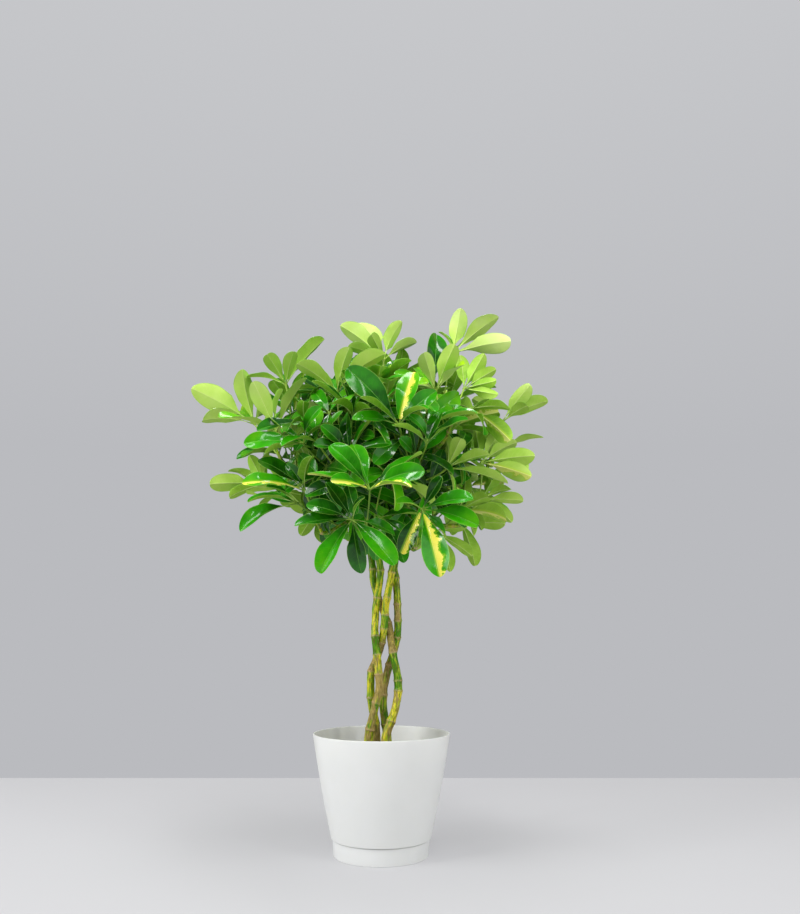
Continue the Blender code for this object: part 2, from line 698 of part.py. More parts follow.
def hub_guard(one):
    """An eight-sided ball round a leaf's hub that other leaves keep clear of."""
    ways = [Vector(way) * GUARD_RADIUS for way in
            ((1, 0, 0), (0, 1, 0), (-1, 0, 0), (0, -1, 0), (0, 0, 1), (0, 0, -1))]
    faces = [(n, (n + 1) % 4, 4) for n in range(4)] + [((n + 1) % 4, n, 5) for n in range(4)]
    return [one["hub"] + way for way in ways], faces


def loose_blade(slot, attempt, rng):
    """A blade at its slot round the hub, drawn more freely at each attempt."""
    turn, cup, length = slot
    loose = attempt / TRIES

    def drawn(what):
        first, more = SPREAD[what]
        return rng.uniform(-1, 1) * (first + more * loose)

    cup = min(max(cup + drawn("cup"), CUP_RANGE[0]), CUP_RANGE[1])
    arch_angle = ARCH + drawn("arch")
    return {
        "turn": turn + drawn("turn"),
        "lift": math.radians(cup + arch_angle * ARCH_ABOVE),
        "arch": math.radians(arch_angle),
        "twist": drawn("twist"),
        "length": length * (1 + drawn("length") - SHORTENING * loose),
    }


def gap_turns(here, after):
    """The turns of the hub's corner points between one blade and the next: one, or more in a wide gap."""
    gap = (after - here) % math.tau or math.tau
    if gap < CORNER_GAP:
        return [here + gap / 2]
    first = here + CORNER_GAP / 2
    inner = gap - CORNER_GAP
    pieces = math.ceil(inner / CORNER_GAP)
    return [first + inner * n / pieces for n in range(pieces + 1)]


def leaf_skin(one):
    """A leaf with its stalk as one closed skin: neighbouring blades share the hub's corner points."""
    blades = sorted(one["leaflets"], key=lambda blade: blade["turn"] % math.tau)
    right, rise = face_plane(one["face"])
    points, faces = tube(one["stalk"], [STALK_RADIUS] * (STALK_STEPS + 1), STALK_SIDES, lid=False)
    collar = list(range(len(points) - STALK_SIDES, len(points)))
    top = len(points)
    points.append(one["hub"] + one["face"] * HUB_ABOVE)

    def turn_of(number):
        from_hub = points[number] - one["hub"]
        return math.atan2(from_hub.dot(rise), from_hub.dot(right))

    def nearest_collar(turn):
        return min(range(STALK_SIDES), key=lambda n: 1 - math.cos(turn - turn_of(collar[n])))

    # The loop runs round the underside: corner, left edge, keel, right edge, and so on
    loop = []
    corners = []
    for here, after in zip(blades, [*blades[1:], blades[0]]):
        turns = gap_turns(here["turn"], after["turn"])
        gap = (after["turn"] - here["turn"]) % math.tau or math.tau
        ring = []
        for turn in turns:
            share = (turn - here["turn"]) / gap
            lift = here["lift"] * (1 - share) + after["lift"] * share
            out = right * math.cos(turn) + rise * math.sin(turn)
            ring.append((len(points), turn))
            points.append(one["hub"] + (out * math.cos(lift) + one["face"] * math.sin(lift)) * HUB_RADIUS)
        corners.append(ring)
        faces += [(top, a[0], b[0]) for a, b in zip(ring, ring[1:])]
    for number, blade in enumerate(blades):
        left = corners[number - 1][-1][0]
        right_corner = corners[number][0][0]
        rings, tip = blade_rings(one, blade, 0.0)
        first = len(points)
        points += [point for ring in rings for point in ring]
        points.append(tip)
        faces += [
            (top, left, first), (top, first, first + 1),
            (top, first + 1, first + 2), (top, first + 2, right_corner),
        ]
        for band in range(len(rings) - 1):
            low = first + band * 4
            high = low + 4
            # The underside is split along the same diagonals as the top
            for corner in (0, 1):
                faces.append((low + corner, high + corner, low + corner + 1))
                faces.append((low + corner + 1, high + corner, high + corner + 1))
            for corner, beside in ((2, 3), (3, 0)):
                faces.append((low + corner, high + corner, high + beside))
                faces.append((low + corner, high + beside, low + beside))
        last = first + (len(rings) - 1) * 4
        faces += [(last + corner, len(points) - 1, last + (corner + 1) % 4) for corner in range(4)]
        loop += [(first, blade["turn"]), (first + 3, blade["turn"]), (first + 2, blade["turn"])]
        loop += corners[number]
    for (here, here_turn), (after, after_turn) in zip(loop, [*loop[1:], loop[0]]):
        at = nearest_collar(here_turn)
        goal = nearest_collar(after_turn)
        faces.append((collar[at], after, here))
        while at != goal:
            beside = (at + 1) % STALK_SIDES
            faces.append((collar[at], collar[beside], after))
            at = beside
    return points, faces


def crosses_itself(points, faces):
    tree = bvh(points, faces)
    return any(not set(faces[a]) & set(faces[b]) for a, b in tree.overlap(tree))


def fit_leaflets(leaves, batch, solids, placed, rng):
    """Opens each blade from its hub, bending it clear of stalks, stems and every blade before it."""
    for number in batch:
        one = leaves[number]
        own_stalk = bvh(*tube(one["stalk"][:-1], [STALK_RADIUS * 1.5] * STALK_STEPS, STALK_SIDES))
        others = [tree for owner, tree in solids if owner != number] + [own_stalk]
        for slot in one["slots"]:
            for attempt in range(TRIES):
                blade = loose_blade(slot, attempt, rng)
                tree = bvh(*blade_test(one, blade))
                middle = blade_frame(one, blade, 0.5)[0]
                near = [other for spot, other in placed if (spot - middle).length < LEAFLET_LENGTH * 1.2]
                if any(tree.overlap(other) for other in near + others):
                    continue
                one["leaflets"].append(blade)
                if not crosses_itself(*leaf_skin(one)):
                    placed.append((middle, tree))
                    break
                one["leaflets"].pop()


def shoot_mesh(number, shoot, leaves, material):
    """One leafy shoot: its woody twig and its leaves on their stalks, joined in one body."""
    name = f"leafy_shoot_{number + 1:02d}"
    body = place(name, mesh_of(name, shoot["points"], shoot["faces"]), material)
    group = bpy.data.collections.new(name + "_leaves")
    bpy.context.scene.collection.children.link(group)
    for owner in shoot["leaves"]:
        leaf_mesh = mesh_of("leaf", *leaf_skin(leaves[owner]))
        group.objects.link(bpy.data.objects.new("leaf", leaf_mesh))
    join = body.modifiers.new("join", "BOOLEAN")
    join.operation = "UNION"
    join.operand_type = "COLLECTION"
    join.collection = group
    bpy.context.view_layer.update()
    joined = bpy.data.meshes.new_from_object(body.evaluated_get(bpy.context.evaluated_depsgraph_get()))
    body.modifiers.clear()
    body.data = joined
    for old in list(group.objects):
        bpy.data.objects.remove(old)
    bpy.data.collections.remove(group)
    joined.materials.clear()
    joined.materials.append(material)
    joined.shade_smooth()
    joined.set_sharp_from_angle(angle=math.radians(50))
    return body


def first_free(draw, solids, rng, sway):
    """The first draw of a bent piece that touches none of the solids, and whether there was one."""
    for attempt in range(BEND_TRIES):
        bend = Vector([rng.uniform(-1, 1) for _ in range(3)]) * (sway * attempt / BEND_TRIES)
        piece, tree = draw(bend)
        if not any(tree.overlap(other) for other in solids):
            return piece, tree, True
    return piece, tree, False


def settle(one, taken):
    """Draws a leaf in towards the crown's middle until its hub is clear; returns the guard, or None."""
    for _ in range(SETTLE_STEPS):
        guard = bvh(*hub_guard(one))
        if not any(guard.overlap(other) for other in taken):
            return guard
        one["hub"] += (CROWN_MIDDLE - one["hub"]).normalized() * SETTLE_STEP
    return None


def grow_stalks(shoot, batch, leaves, solids, placed, rng):
    """Gives each leaf of the batch on this shoot its stalk; a leaf whose stalk finds no free way has none."""
    way = (shoot["end"] - shoot["start"]).normalized()
    shoot["leaves"].sort(key=lambda number: stalk_foot(leaves[number]).dot(way))
    for rank, number in enumerate(shoot["leaves"]):
        if number not in batch:
            continue
        share = rank / max(1, len(shoot["leaves"]) - 1)
        foot_at = FIRST_LEAF_AT + (LAST_LEAF_AT - FIRST_LEAF_AT) * share

        def draw_stalk(bend):
            at = min(max(foot_at + bend.x * FOOT_SLIDE, FIRST_LEAF_AT), LAST_LEAF_AT)
            path = stalk_path(leaves[number], along(shoot["path"], at), bend)
            return path, bvh(*tube(path, [STALK_RADIUS + CLEAR / 2] * (STALK_STEPS + 1), STALK_SIDES))
        others = [other for owner, other in solids if other is not shoot["tree"] and owner != number]
        others += [other for _, other in placed]
        path, tree, free = first_free(draw_stalk, others, rng, STALK_SWAY)
        if free:
            leaves[number]["stalk"] = path
            solids.append((number, tree))


def grow_batch(batch, leaves, shoots, solids, placed, rng):
    for shoot in shoots:
        grow_stalks(shoot, batch, leaves, solids, placed, rng)
    stalked = [number for number in batch if leaves[number].get("stalk")]
    fit_leaflets(leaves, stalked, solids, placed, rng)


def grow_crown():
    """Works out every leaf, shoot, stalk and blade of the crown."""
    rng = random.Random(CROWN_SEED)
    stems = {name: stem_path(name) for name in STEM_PATHS}
    leaves = crown_leaves(rng)
    shoots = crown_shoots(leaves, stems)
    solids = [(None, bvh(*stem_tube(name, grow=0.001))) for name in STEM_PATHS]
    for shoot in shoots:
        def draw_shoot(bend):
            piece = shoot_tube(shoot, bend)
            swollen = tube(piece[0][1:], [SHOOT_RADIUS + CLEAR] * SHOOT_STEPS, SHOOT_SIDES)
            return piece, bvh(*swollen)
        others = [other for _, other in solids]
        (path, points, faces), _, _ = first_free(draw_shoot, others, rng, SHOOT_SWAY)
        whole = bvh(*tube(path, [SHOOT_RADIUS + CLEAR] * len(path), SHOOT_SIDES))
        shoot.update(path=path, points=points, faces=faces, tree=whole)
        solids.append((None, whole))
    # The leaves placed by eye grow whole before the rest find their room between them
    by_eye = range(len(FRONT_LEAVES))
    solids += [(number, bvh(*hub_guard(leaves[number]))) for number in by_eye]
    placed = []
    grow_batch(by_eye, leaves, shoots, solids, placed, rng)
    others = [other for _, other in solids + placed]
    rest = []
    for number in range(len(FRONT_LEAVES), len(leaves)):
        guard = settle(leaves[number], others)
        if guard:
            rest.append(number)
            others.append(guard)
            solids.append((number, guard))
    grow_batch(rest, leaves, shoots, solids, placed, rng)
    for shoot in shoots:
        shoot["leaves"] = [number for number in shoot["leaves"] if leaves[number]["leaflets"]]
    return leaves, shoots


def build():
    clear_scene()
    white = plastic("white_plastic", (0.80, 0.81, 0.80), 0.45)
    earth = plastic("potting_soil", (0.07, 0.045, 0.03), 0.95)
    bark = plastic("green_bark", (0.36, 0.36, 0.08), 0.6)
    green = plastic("leaf_green", (0.12, 0.36, 0.03), 0.35)
    place("saucer", saucer_mesh(), white)
    pot = place("pot", pot_mesh(), white)
    cut(pot, drain_cutter())
    for name in STEM_PATHS:
        place(name, mesh_of(name, *stem_tube(name)), bark)
    soil = place("soil", soil_mesh(), earth)
    for hole in stem_holes():
        cut(soil, hole)
    leaves, shoots = grow_crown()
    for number, shoot in enumerate(shoots):
        shoot_mesh(number, shoot, leaves, green)


build()
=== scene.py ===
"""A schefflera trained as a small tree on four braided stems, in a white plastic pot with its own saucer.

Metres, +Z up. The origin is the middle of the saucer's underside, and -Y faces the viewer.
"""

import math
import random

import bmesh
import bpy
from mathutils import Matrix, Vector, noise
from mathutils.bvhtree import BVHTree


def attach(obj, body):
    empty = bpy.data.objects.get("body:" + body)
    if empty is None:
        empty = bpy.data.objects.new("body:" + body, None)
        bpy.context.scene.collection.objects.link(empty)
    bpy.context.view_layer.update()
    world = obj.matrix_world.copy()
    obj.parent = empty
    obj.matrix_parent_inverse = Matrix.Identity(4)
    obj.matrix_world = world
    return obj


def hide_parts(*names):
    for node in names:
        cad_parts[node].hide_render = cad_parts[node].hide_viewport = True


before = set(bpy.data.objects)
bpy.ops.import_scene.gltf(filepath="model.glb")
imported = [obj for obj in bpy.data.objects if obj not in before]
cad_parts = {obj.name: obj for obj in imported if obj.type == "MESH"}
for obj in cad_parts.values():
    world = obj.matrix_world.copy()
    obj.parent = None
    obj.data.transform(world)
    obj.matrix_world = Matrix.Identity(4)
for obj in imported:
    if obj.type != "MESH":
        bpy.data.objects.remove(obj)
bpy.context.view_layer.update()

# Saucer: a shallow dish, injection moulded in polypropylene. It stands on a low ring under its edge, and its
# wall carries on the pot's taper, so that only a fine shadow line parts the two.

MM = 0.001
SAUCER_RADIUS = 0.059
SAUCER_HEIGHT = 0.0195
SAUCER_WALL = 0.0020
SAUCER_FLOOR = 0.0025
SAUCER_FOOT_RADIUS = 0.0573
SAUCER_RING_RADIUS = 0.050
RING_RECESS = 0.0009
RING_SLOPE = 0.001
TURNED_SIDES = 144
CORNER_STEPS = 4


def filleted(profile):
    """A profile of (radius, height, corner rounding) rows as points, with each corner drawn as an arc."""
    corners = [Vector((radius, height)) for radius, height, _ in profile]
    drawn = []
    for number, (corner, row) in enumerate(zip(corners, profile)):
        rounding = row[2]
        if rounding == 0.0:
            drawn.append(tuple(corner))
            continue
        before = corner + (corners[number - 1] - corner).normalized() * rounding
        after = corner + (corners[number + 1] - corner).normalized() * rounding
        for step in range(CORNER_STEPS + 1):
            t = step / CORNER_STEPS
            drawn.append(tuple(before * (1 - t) ** 2 + corner * (2 * t * (1 - t)) + after * t * t))
    return drawn


def turned(name, profile, lift=None):
    """A solid of revolution. The profile runs from the axis underneath, up the outside, back to the axis."""
    points = []
    rings = []
    for radius, height in profile:
        if radius == 0.0:
            rings.append([len(points)])
            points.append((0.0, 0.0, height))
            continue
        rings.append(list(range(len(points), len(points) + TURNED_SIDES)))
        for side in range(TURNED_SIDES):
            angle = math.tau * side / TURNED_SIDES
            x = radius * math.cos(angle)
            y = radius * math.sin(angle)
            points.append((x, y, height + (lift(x, y, height) if lift else 0.0)))
    faces = []
    for lower, upper in zip(rings, rings[1:]):
        for side in range(TURNED_SIDES):
            after = (side + 1) % TURNED_SIDES
            if len(lower) == 1:
                faces.append((lower[0], upper[after], upper[side]))
            elif len(upper) == 1:
                faces.append((lower[side], lower[after], upper[0]))
            else:
                faces.append((lower[side], lower[after], upper[after], upper[side]))
    mesh = bpy.data.meshes.new(name)
    mesh.from_pydata(points, [], faces)
    return mesh


def put(name, mesh, materials, nodes=(), crease=40.0):
    """Puts a mesh in the scene as a piece of the plant, in place of the frame's nodes that it stands for."""
    piece = bpy.data.objects.new(name, mesh)
    bpy.context.scene.collection.objects.link(piece)
    for material in materials:
        mesh.materials.append(material)
    mesh.shade_smooth()
    mesh.set_sharp_from_angle(angle=math.radians(crease))
    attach(piece, "root")
    if nodes:
        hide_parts(*nodes)
    return piece


def linear(colour):
    """An sRGB hex colour as linear RGBA."""
    parts = [int(colour[at:at + 2], 16) / 255 for at in (1, 3, 5)]
    return (*(c / 12.92 if c <= 0.04045 else ((c + 0.055) / 1.055) ** 2.4 for c in parts), 1.0)


def feed(tree, node, inputs):
    """Fills a node's inputs. Sockets, and nodes' first outputs in use, are linked; other values are set."""
    for socket, value in dict(inputs).items():
        if isinstance(value, bpy.types.Node):
            value = next(output for output in value.outputs if output.enabled)
        if isinstance(value, bpy.types.NodeSocket):
            tree.links.new(value, node.inputs[socket])
        else:
            node.inputs[socket].default_value = value


def add(tree, kind, inputs=(), **settings):
    """Adds a node with its settings and its inputs."""
    node = tree.nodes.new(kind)
    for setting, value in settings.items():
        setattr(node, setting, value)
    feed(tree, node, inputs)
    return node


def new_material(name):
    """A material with its node tree and its shader."""
    material = bpy.data.materials.new(name)
    material.use_nodes = True
    tree = material.node_tree
    return material, tree, tree.nodes["Principled BSDF"]


def moulded_polypropylene():
    """White polypropylene out of a finely eroded mould: an even satin with a soft, broad highlight."""
    material, tree, shader = new_material("moulded_polypropylene_white")
    spot = add(tree, "ShaderNodeTexCoord").outputs["Object"]
    # Resin flow shades the white by about one part in a hundred, over some 40 mm. A colour mix takes its
    # share at input 0 and its two colours at inputs 6 and 7
    flow = add(tree, "ShaderNodeTexNoise", {"Vector": spot, "Scale": 1 / (40 * MM), "Detail": 2.0})
    white = add(tree, "ShaderNodeMix", {
        0: flow, 6: linear("#EEEFED"), 7: linear("#E8EAE6")}, data_type="RGBA")
    # The mould's eroded grain is near 0.1 mm, drawn at 0.7 mm so that it shows
    grain = add(tree, "ShaderNodeTexNoise", {"Vector": spot, "Scale": 1 / (0.7 * MM), "Detail": 2.0})
    bump = add(tree, "ShaderNodeBump", {"Height": grain, "Strength": 0.06, "Distance": 0.2 * MM})
    # A wall of 2.6 mm lets some light through
    feed(tree, shader, {
        "Base Color": white, "Normal": bump, "Roughness": 0.42, "IOR": 1.49, "Subsurface Weight": 0.35,
        "Subsurface Radius": (1.0, 0.95, 0.85), "Subsurface Scale": 6 * MM})
    return material


white_plastic = moulded_polypropylene()
# Radius, height and corner rounding, from the axis underneath, up the outside and back down to the axis
saucer_profile = filleted([
    (0.0, RING_RECESS, 0.0),
    (SAUCER_RING_RADIUS - RING_SLOPE, RING_RECESS, 0.0003),
    (SAUCER_RING_RADIUS, 0.0, 0.0003),
    (SAUCER_FOOT_RADIUS, 0.0, 0.0010),
    (SAUCER_RADIUS, SAUCER_HEIGHT, 0.0006),
    (SAUCER_RADIUS - SAUCER_WALL, SAUCER_HEIGHT, 0.0005),
    (SAUCER_FOOT_RADIUS - SAUCER_WALL, SAUCER_FLOOR, 0.0015),
    (0.0, SAUCER_FLOOR, 0.0),
])
put("saucer_dish", turned("saucer_dish", saucer_profile), [white_plastic], ["saucer"])

# Pot: one injection-moulded polypropylene shell, tapered so that it comes out of its mould. A stepped foot
# drops into the saucer, with a shadow line between them, and four holes in its floor drain it.

RIM_RADIUS = 0.085
POT_HEIGHT = 0.141
POT_WALL = 0.0026
AIR = 0.0003                # gap between pieces that rest against each other
GROOVE = 0.0008
FOOT_CLEARANCE = 0.0005
LEDGE_HEIGHT = SAUCER_HEIGHT + GROOVE
LEDGE_RADIUS = 0.0606
STEP_HEIGHT = LEDGE_HEIGHT + POT_WALL
WALL_BOW = 0.0012
POT_FOOT = SAUCER_FLOOR + AIR
FOOT_RADIUS = SAUCER_FOOT_RADIUS - SAUCER_WALL - FOOT_CLEARANCE
SKIRT_RADIUS = SAUCER_RADIUS - SAUCER_WALL - FOOT_CLEARANCE
FLOOR_THICKNESS = 0.0030
POT_FLOOR = POT_FOOT + FLOOR_THICKNESS
DRAIN_RADIUS = 0.0045
DRAIN_CIRCLE = 0.030
DRAIN_COUNT = 4
DRAIN_SIDES = 32
WALL_ROWS = 12


def wall_radius(height):
    """The pot's outer radius above the ledge, bowed out by a millimetre half way up."""
    share = (height - LEDGE_HEIGHT) / (POT_HEIGHT - LEDGE_HEIGHT)
    return LEDGE_RADIUS + (RIM_RADIUS - LEDGE_RADIUS) * share + WALL_BOW * math.sin(math.pi * share)


def pot_shell():
    """The pot before its drain holes are cut, as radius, height and corner rounding from the axis out."""
    rows = [LEDGE_HEIGHT + (POT_HEIGHT - LEDGE_HEIGHT) * n / WALL_ROWS for n in range(1, WALL_ROWS)]
    outside = [(wall_radius(height), height, 0.0) for height in rows]
    inside = [(wall_radius(height) - POT_WALL, height, 0.0) for height in reversed(rows)]
    profile = [
        (0.0, POT_FOOT, 0.0),
        (FOOT_RADIUS, POT_FOOT, 0.0010),
        (SKIRT_RADIUS, LEDGE_HEIGHT, 0.0),
        (LEDGE_RADIUS, LEDGE_HEIGHT, 0.0004),
        *outside,
        (RIM_RADIUS, POT_HEIGHT, 0.0009),
        (RIM_RADIUS - POT_WALL, POT_HEIGHT, 0.0009),
        *inside,
        (SKIRT_RADIUS - POT_WALL, STEP_HEIGHT, 0.0005),
        (FOOT_RADIUS - POT_WALL, POT_FLOOR, 0.0015),
        (0.0, POT_FLOOR, 0.0),
    ]
    return turned("pot_shell", filleted(profile))


def drained(mesh):
    """The pot's mesh with its drain holes cut by round pegs."""
    pegs = bmesh.new()
    for hole in range(DRAIN_COUNT):
        angle = math.tau * (hole + 0.5) / DRAIN_COUNT
        spot = (
            math.cos(angle) * DRAIN_CIRCLE, math.sin(angle) * DRAIN_CIRCLE, POT_FOOT + FLOOR_THICKNESS / 2)
        bmesh.ops.create_cone(
            pegs, cap_ends=True, segments=DRAIN_SIDES, radius1=DRAIN_RADIUS, radius2=DRAIN_RADIUS,
            depth=FLOOR_THICKNESS * 3, matrix=Matrix.Translation(spot),
        )
    peg_mesh = bpy.data.meshes.new("drain_pegs")
    pegs.to_mesh(peg_mesh)
    pegs.free()
    cutter = bpy.data.objects.new("drain_pegs", peg_mesh)
    blank = bpy.data.objects.new("pot_blank", mesh)
    for old in (cutter, blank):
        bpy.context.scene.collection.objects.link(old)
    cut = blank.modifiers.new("drain", "BOOLEAN")
    cut.operation = "DIFFERENCE"
    cut.object = cutter
    bpy.context.view_layer.update()
    holed = bpy.data.meshes.new_from_object(blank.evaluated_get(bpy.context.evaluated_depsgraph_get()))
    for old in (cutter, blank):
        bpy.data.objects.remove(old)
    return holed


put("pot_shell", drained(pot_shell()), [white_plastic], ["pot"])

# Soil: peat potting mix, filled to 26 mm below the rim and settled by watering. It is a dark, open crumb of
# 1 to 5 mm with a few pale grains of perlite, and it holds the stems' roots.

SOIL_TOP = POT_HEIGHT - 0.026
SOIL_RINGS = 34
SOIL_SLACK = 0.0006         # how far the plug stays clear of the pot's wall, past the air between them
SOIL_EDGE = 0.0008          # and how far its top, where the soil has shrunk back as it dried
SOIL_SHOULDER = 0.002       # depth over which the top's edge falls away
PLUG_STEP_RISE = 0.0011     # how far above the pot's inner step the plug widens
MOUND_HEIGHT = 0.0016       # how much higher the soil stands in the middle
MOUND_RADIUS = 0.077
CLOD_WIDTH = 0.012
CLOD_HEIGHT = 0.0011
CRUMB_WIDTH = 0.0032
CRUMB_HEIGHT = 0.0006
CRUMB_LAYER = 0.3           # draws the crumbs from another layer of the noise than the clods
SOIL_SEED = 11
CRUMB_COUNT = 1500
CRUMB_SIZES = (0.0007, 0.0023)
CRUMB_SHRINK = (0.5, 1.0)   # most crumbs are finer than the sizes drawn
CRUMB_WIDTHS = (0.6, 1.0)   # beside their length, and their thickness
CRUMB_THICKS = (0.5, 0.9)
CRUMB_MARGIN = 0.004        # bare soil along the pot's wall
CRUMB_RISE = 0.2            # shares of a crumb's size: how far its middle stands above the soil
CRUMB_LUMPS = 0.22          # and how lumpy it is
PERLITE_SHARE = 0.04
FOOT_SLACK = 0.001          # how much further in from the wall the plug's foot is


def soil_height(x, y):
    """How much higher than its edge the soil's top stands: a low mound, with clods and crumbs on it."""
    mound = MOUND_HEIGHT * (1 - (x * x + y * y) / MOUND_RADIUS**2)
    clods = noise.noise(Vector((x, y, 0.0)) / CLOD_WIDTH) * CLOD_HEIGHT
    crumbs = noise.noise(Vector((x, y, CRUMB_LAYER)) / CRUMB_WIDTH) * CRUMB_HEIGHT
    return mound + clods + crumbs


def soil_plug():
    """The soil as one plug that fills the pot, with a finely ringed top."""
    top_radius = wall_radius(SOIL_TOP) - POT_WALL - AIR
    profile = [
        (0.0, POT_FLOOR + AIR),
        (FOOT_RADIUS - POT_WALL - AIR - FOOT_SLACK, POT_FLOOR + AIR),
        (SKIRT_RADIUS - POT_WALL - AIR - SOIL_SLACK, STEP_HEIGHT),
        (wall_radius(STEP_HEIGHT) - POT_WALL - AIR - SOIL_SLACK, STEP_HEIGHT + PLUG_STEP_RISE),
        (top_radius - SOIL_SLACK, SOIL_TOP - SOIL_SHOULDER),
    ]
    profile += [(top_radius * n / SOIL_RINGS - SOIL_EDGE, SOIL_TOP) for n in range(SOIL_RINGS, 0, -1)]
    profile.append((0.0, SOIL_TOP))
    return turned("soil_plug", profile, lambda x, y, height: soil_height(x, y) if height == SOIL_TOP else 0.0)


def peat():
    """Damp peat and bark fines: nearly black brown, dull, with no highlight."""
    material, tree, shader = new_material("peat_potting_mix")
    spot = add(tree, "ShaderNodeTexCoord").outputs["Object"]
    # Fibres and crumbs 2 mm across
    crumb = add(tree, "ShaderNodeTexNoise", {"Vector": spot, "Scale": 1 / (2 * MM), "Detail": 4.0})
    brown = add(tree, "ShaderNodeValToRGB", {"Fac": crumb})
    damp, dry = brown.color_ramp.elements
    damp.position = 0.32
    damp.color = linear("#1E140D")
    dry.position = 0.72
    dry.color = linear("#5A4029")
    bump = add(tree, "ShaderNodeBump", {"Height": crumb, "Strength": 0.7, "Distance": 0.8 * MM})
    feed(tree, shader, {"Base Color": brown, "Normal": bump, "Roughness": 0.95, "IOR": 1.4})
    return material


def perlite():
    """Expanded volcanic glass: chalky off-white grains with a dull, pitted face."""
    material, tree, shader = new_material("expanded_perlite")
    spot = add(tree, "ShaderNodeTexCoord").outputs["Object"]
    # Its pits are finer than 0.1 mm, drawn at 0.56 mm so that they show
    pits = add(tree, "ShaderNodeTexNoise", {"Vector": spot, "Scale": 1 / (0.56 * MM), "Detail": 3.0})
    pale = add(tree, "ShaderNodeMix", {0: pits, 6: linear("#B9B3A6"), 7: linear("#E8E4DA")}, data_type="RGBA")
    bump = add(tree, "ShaderNodeBump", {"Height": pits, "Strength": 0.5, "Distance": 0.3 * MM})
    feed(tree, shader, {"Base Color": pale, "Normal": bump, "Roughness": 0.9})
    return material


def soil_crumbs():
    """Loose crumbs that lie half sunk in the soil's top, each a small lumpy stone."""
    rng = random.Random(SOIL_SEED)
    heap = bmesh.new()
    reach = wall_radius(SOIL_TOP) - POT_WALL - CRUMB_MARGIN
    for _ in range(CRUMB_COUNT):
        far = reach * math.sqrt(rng.random())
        angle = rng.uniform(0, math.tau)
        x = far * math.cos(angle)
        y = far * math.sin(angle)
        size = rng.uniform(*CRUMB_SIZES) * rng.uniform(*CRUMB_SHRINK)
        turn = Matrix.Rotation(rng.uniform(0, math.tau), 4, Vector((rng.random(), rng.random(), 1.0)))
        spread = Matrix.Diagonal((1.0, rng.uniform(*CRUMB_WIDTHS), rng.uniform(*CRUMB_THICKS), 1.0))
        spot = Matrix.Translation((x, y, SOIL_TOP + soil_height(x, y) + size * CRUMB_RISE))
        crumb = bmesh.ops.create_icosphere(heap, subdivisions=1, radius=size, matrix=spot @ turn @ spread)
        pale = rng.random() < PERLITE_SHARE
        for vert in crumb["verts"]:
            vert.co += Vector([rng.uniform(-1, 1) for _ in range(3)]) * size * CRUMB_LUMPS
            for face in vert.link_faces:
                face.material_index = 1 if pale else 0
    mesh = bpy.data.meshes.new("soil_crumbs")
    heap.to_mesh(mesh)
    heap.free()
    return mesh


peat_mix = peat()
put("soil_plug", soil_plug(), [peat_mix], ["soil"])
put("soil_crumbs", soil_crumbs(), [peat_mix, perlite()])

# Stems: four schefflera stems, braided while they were soft and rooted in the soil. Their green and yellow
# skin is ringed by a scar where each leaf once sat, and it turns to tan cork in patches, most low down.

STEM_RADIUS = 0.0048
STEM_FOOT_SWELL = 0.0009
STEM_TOP_TAPER = 0.0010
CURVE_PIECES = 12
# x, y, z in millimetres, from under the soil up into the crown
STEM_PATHS = {
    "stem_front_left": [
        (-18, -5, 90), (-16, -6, 134), (-12, -8, 156), (-8, -9, 173), (-3, -9, 194), (-4, -9, 216),
        (-6, -9.5, 236), (-8, -9, 252), (-9, -6, 266), (-8.5, -2.5, 281), (-8, -2, 295), (-5, -3.5, 314),
        (-3, -5, 330), (-3, -7, 348), (-14, -16, 400), (-31, -29, 455), (-44, -38, 500),
    ],
    "stem_front_right": [
        (3, -8, 90), (5, -9, 134), (12, -8, 156), (16.5, -7, 169), (20, -4, 186), (20.5, -3, 201),
        (18.5, -4, 216), (15, -5.5, 232), (12.5, -4, 245), (11, 0, 255), (9.5, 5, 267), (5, 7, 281),
        (-1, 9.5, 295), (-8, 9, 314), (-12, 6, 330), (-13, 6, 348), (-22, 15, 400), (-38, 27, 450),
        (-52, 36, 488),
    ],
    "stem_back_left": [
        (-8, 8, 90), (-7, 9, 134), (-9, 6, 156), (-12.5, 3.5, 173), (-14, 2, 192), (-13.5, 1.5, 212),
        (-9.5, 2.5, 224), (-5, 3, 235), (-1, 1.5, 249), (2, -3.5, 264), (3.5, -6, 280), (4.5, -7, 295),
        (7.5, -6, 312), (10.5, -5, 328), (13.5, -6, 346), (23, -15, 400), (38, -27, 456), (49, -36, 506),
    ],
    "stem_back_right": [
        (9, 9, 90), (7, 9, 134), (4, 8, 156), (2, 5, 171), (2, 6, 190), (5.5, 6.5, 208), (9, 7, 221),
        (13.5, 7, 235), (18, 6, 251), (20, 4, 268), (20, 3, 284), (19.5, 3, 300), (18.5, 4, 318),
        (17, 6, 334), (16, 8, 350), (26, 18, 402), (41, 31, 452), (54, 42, 492),
    ],
}
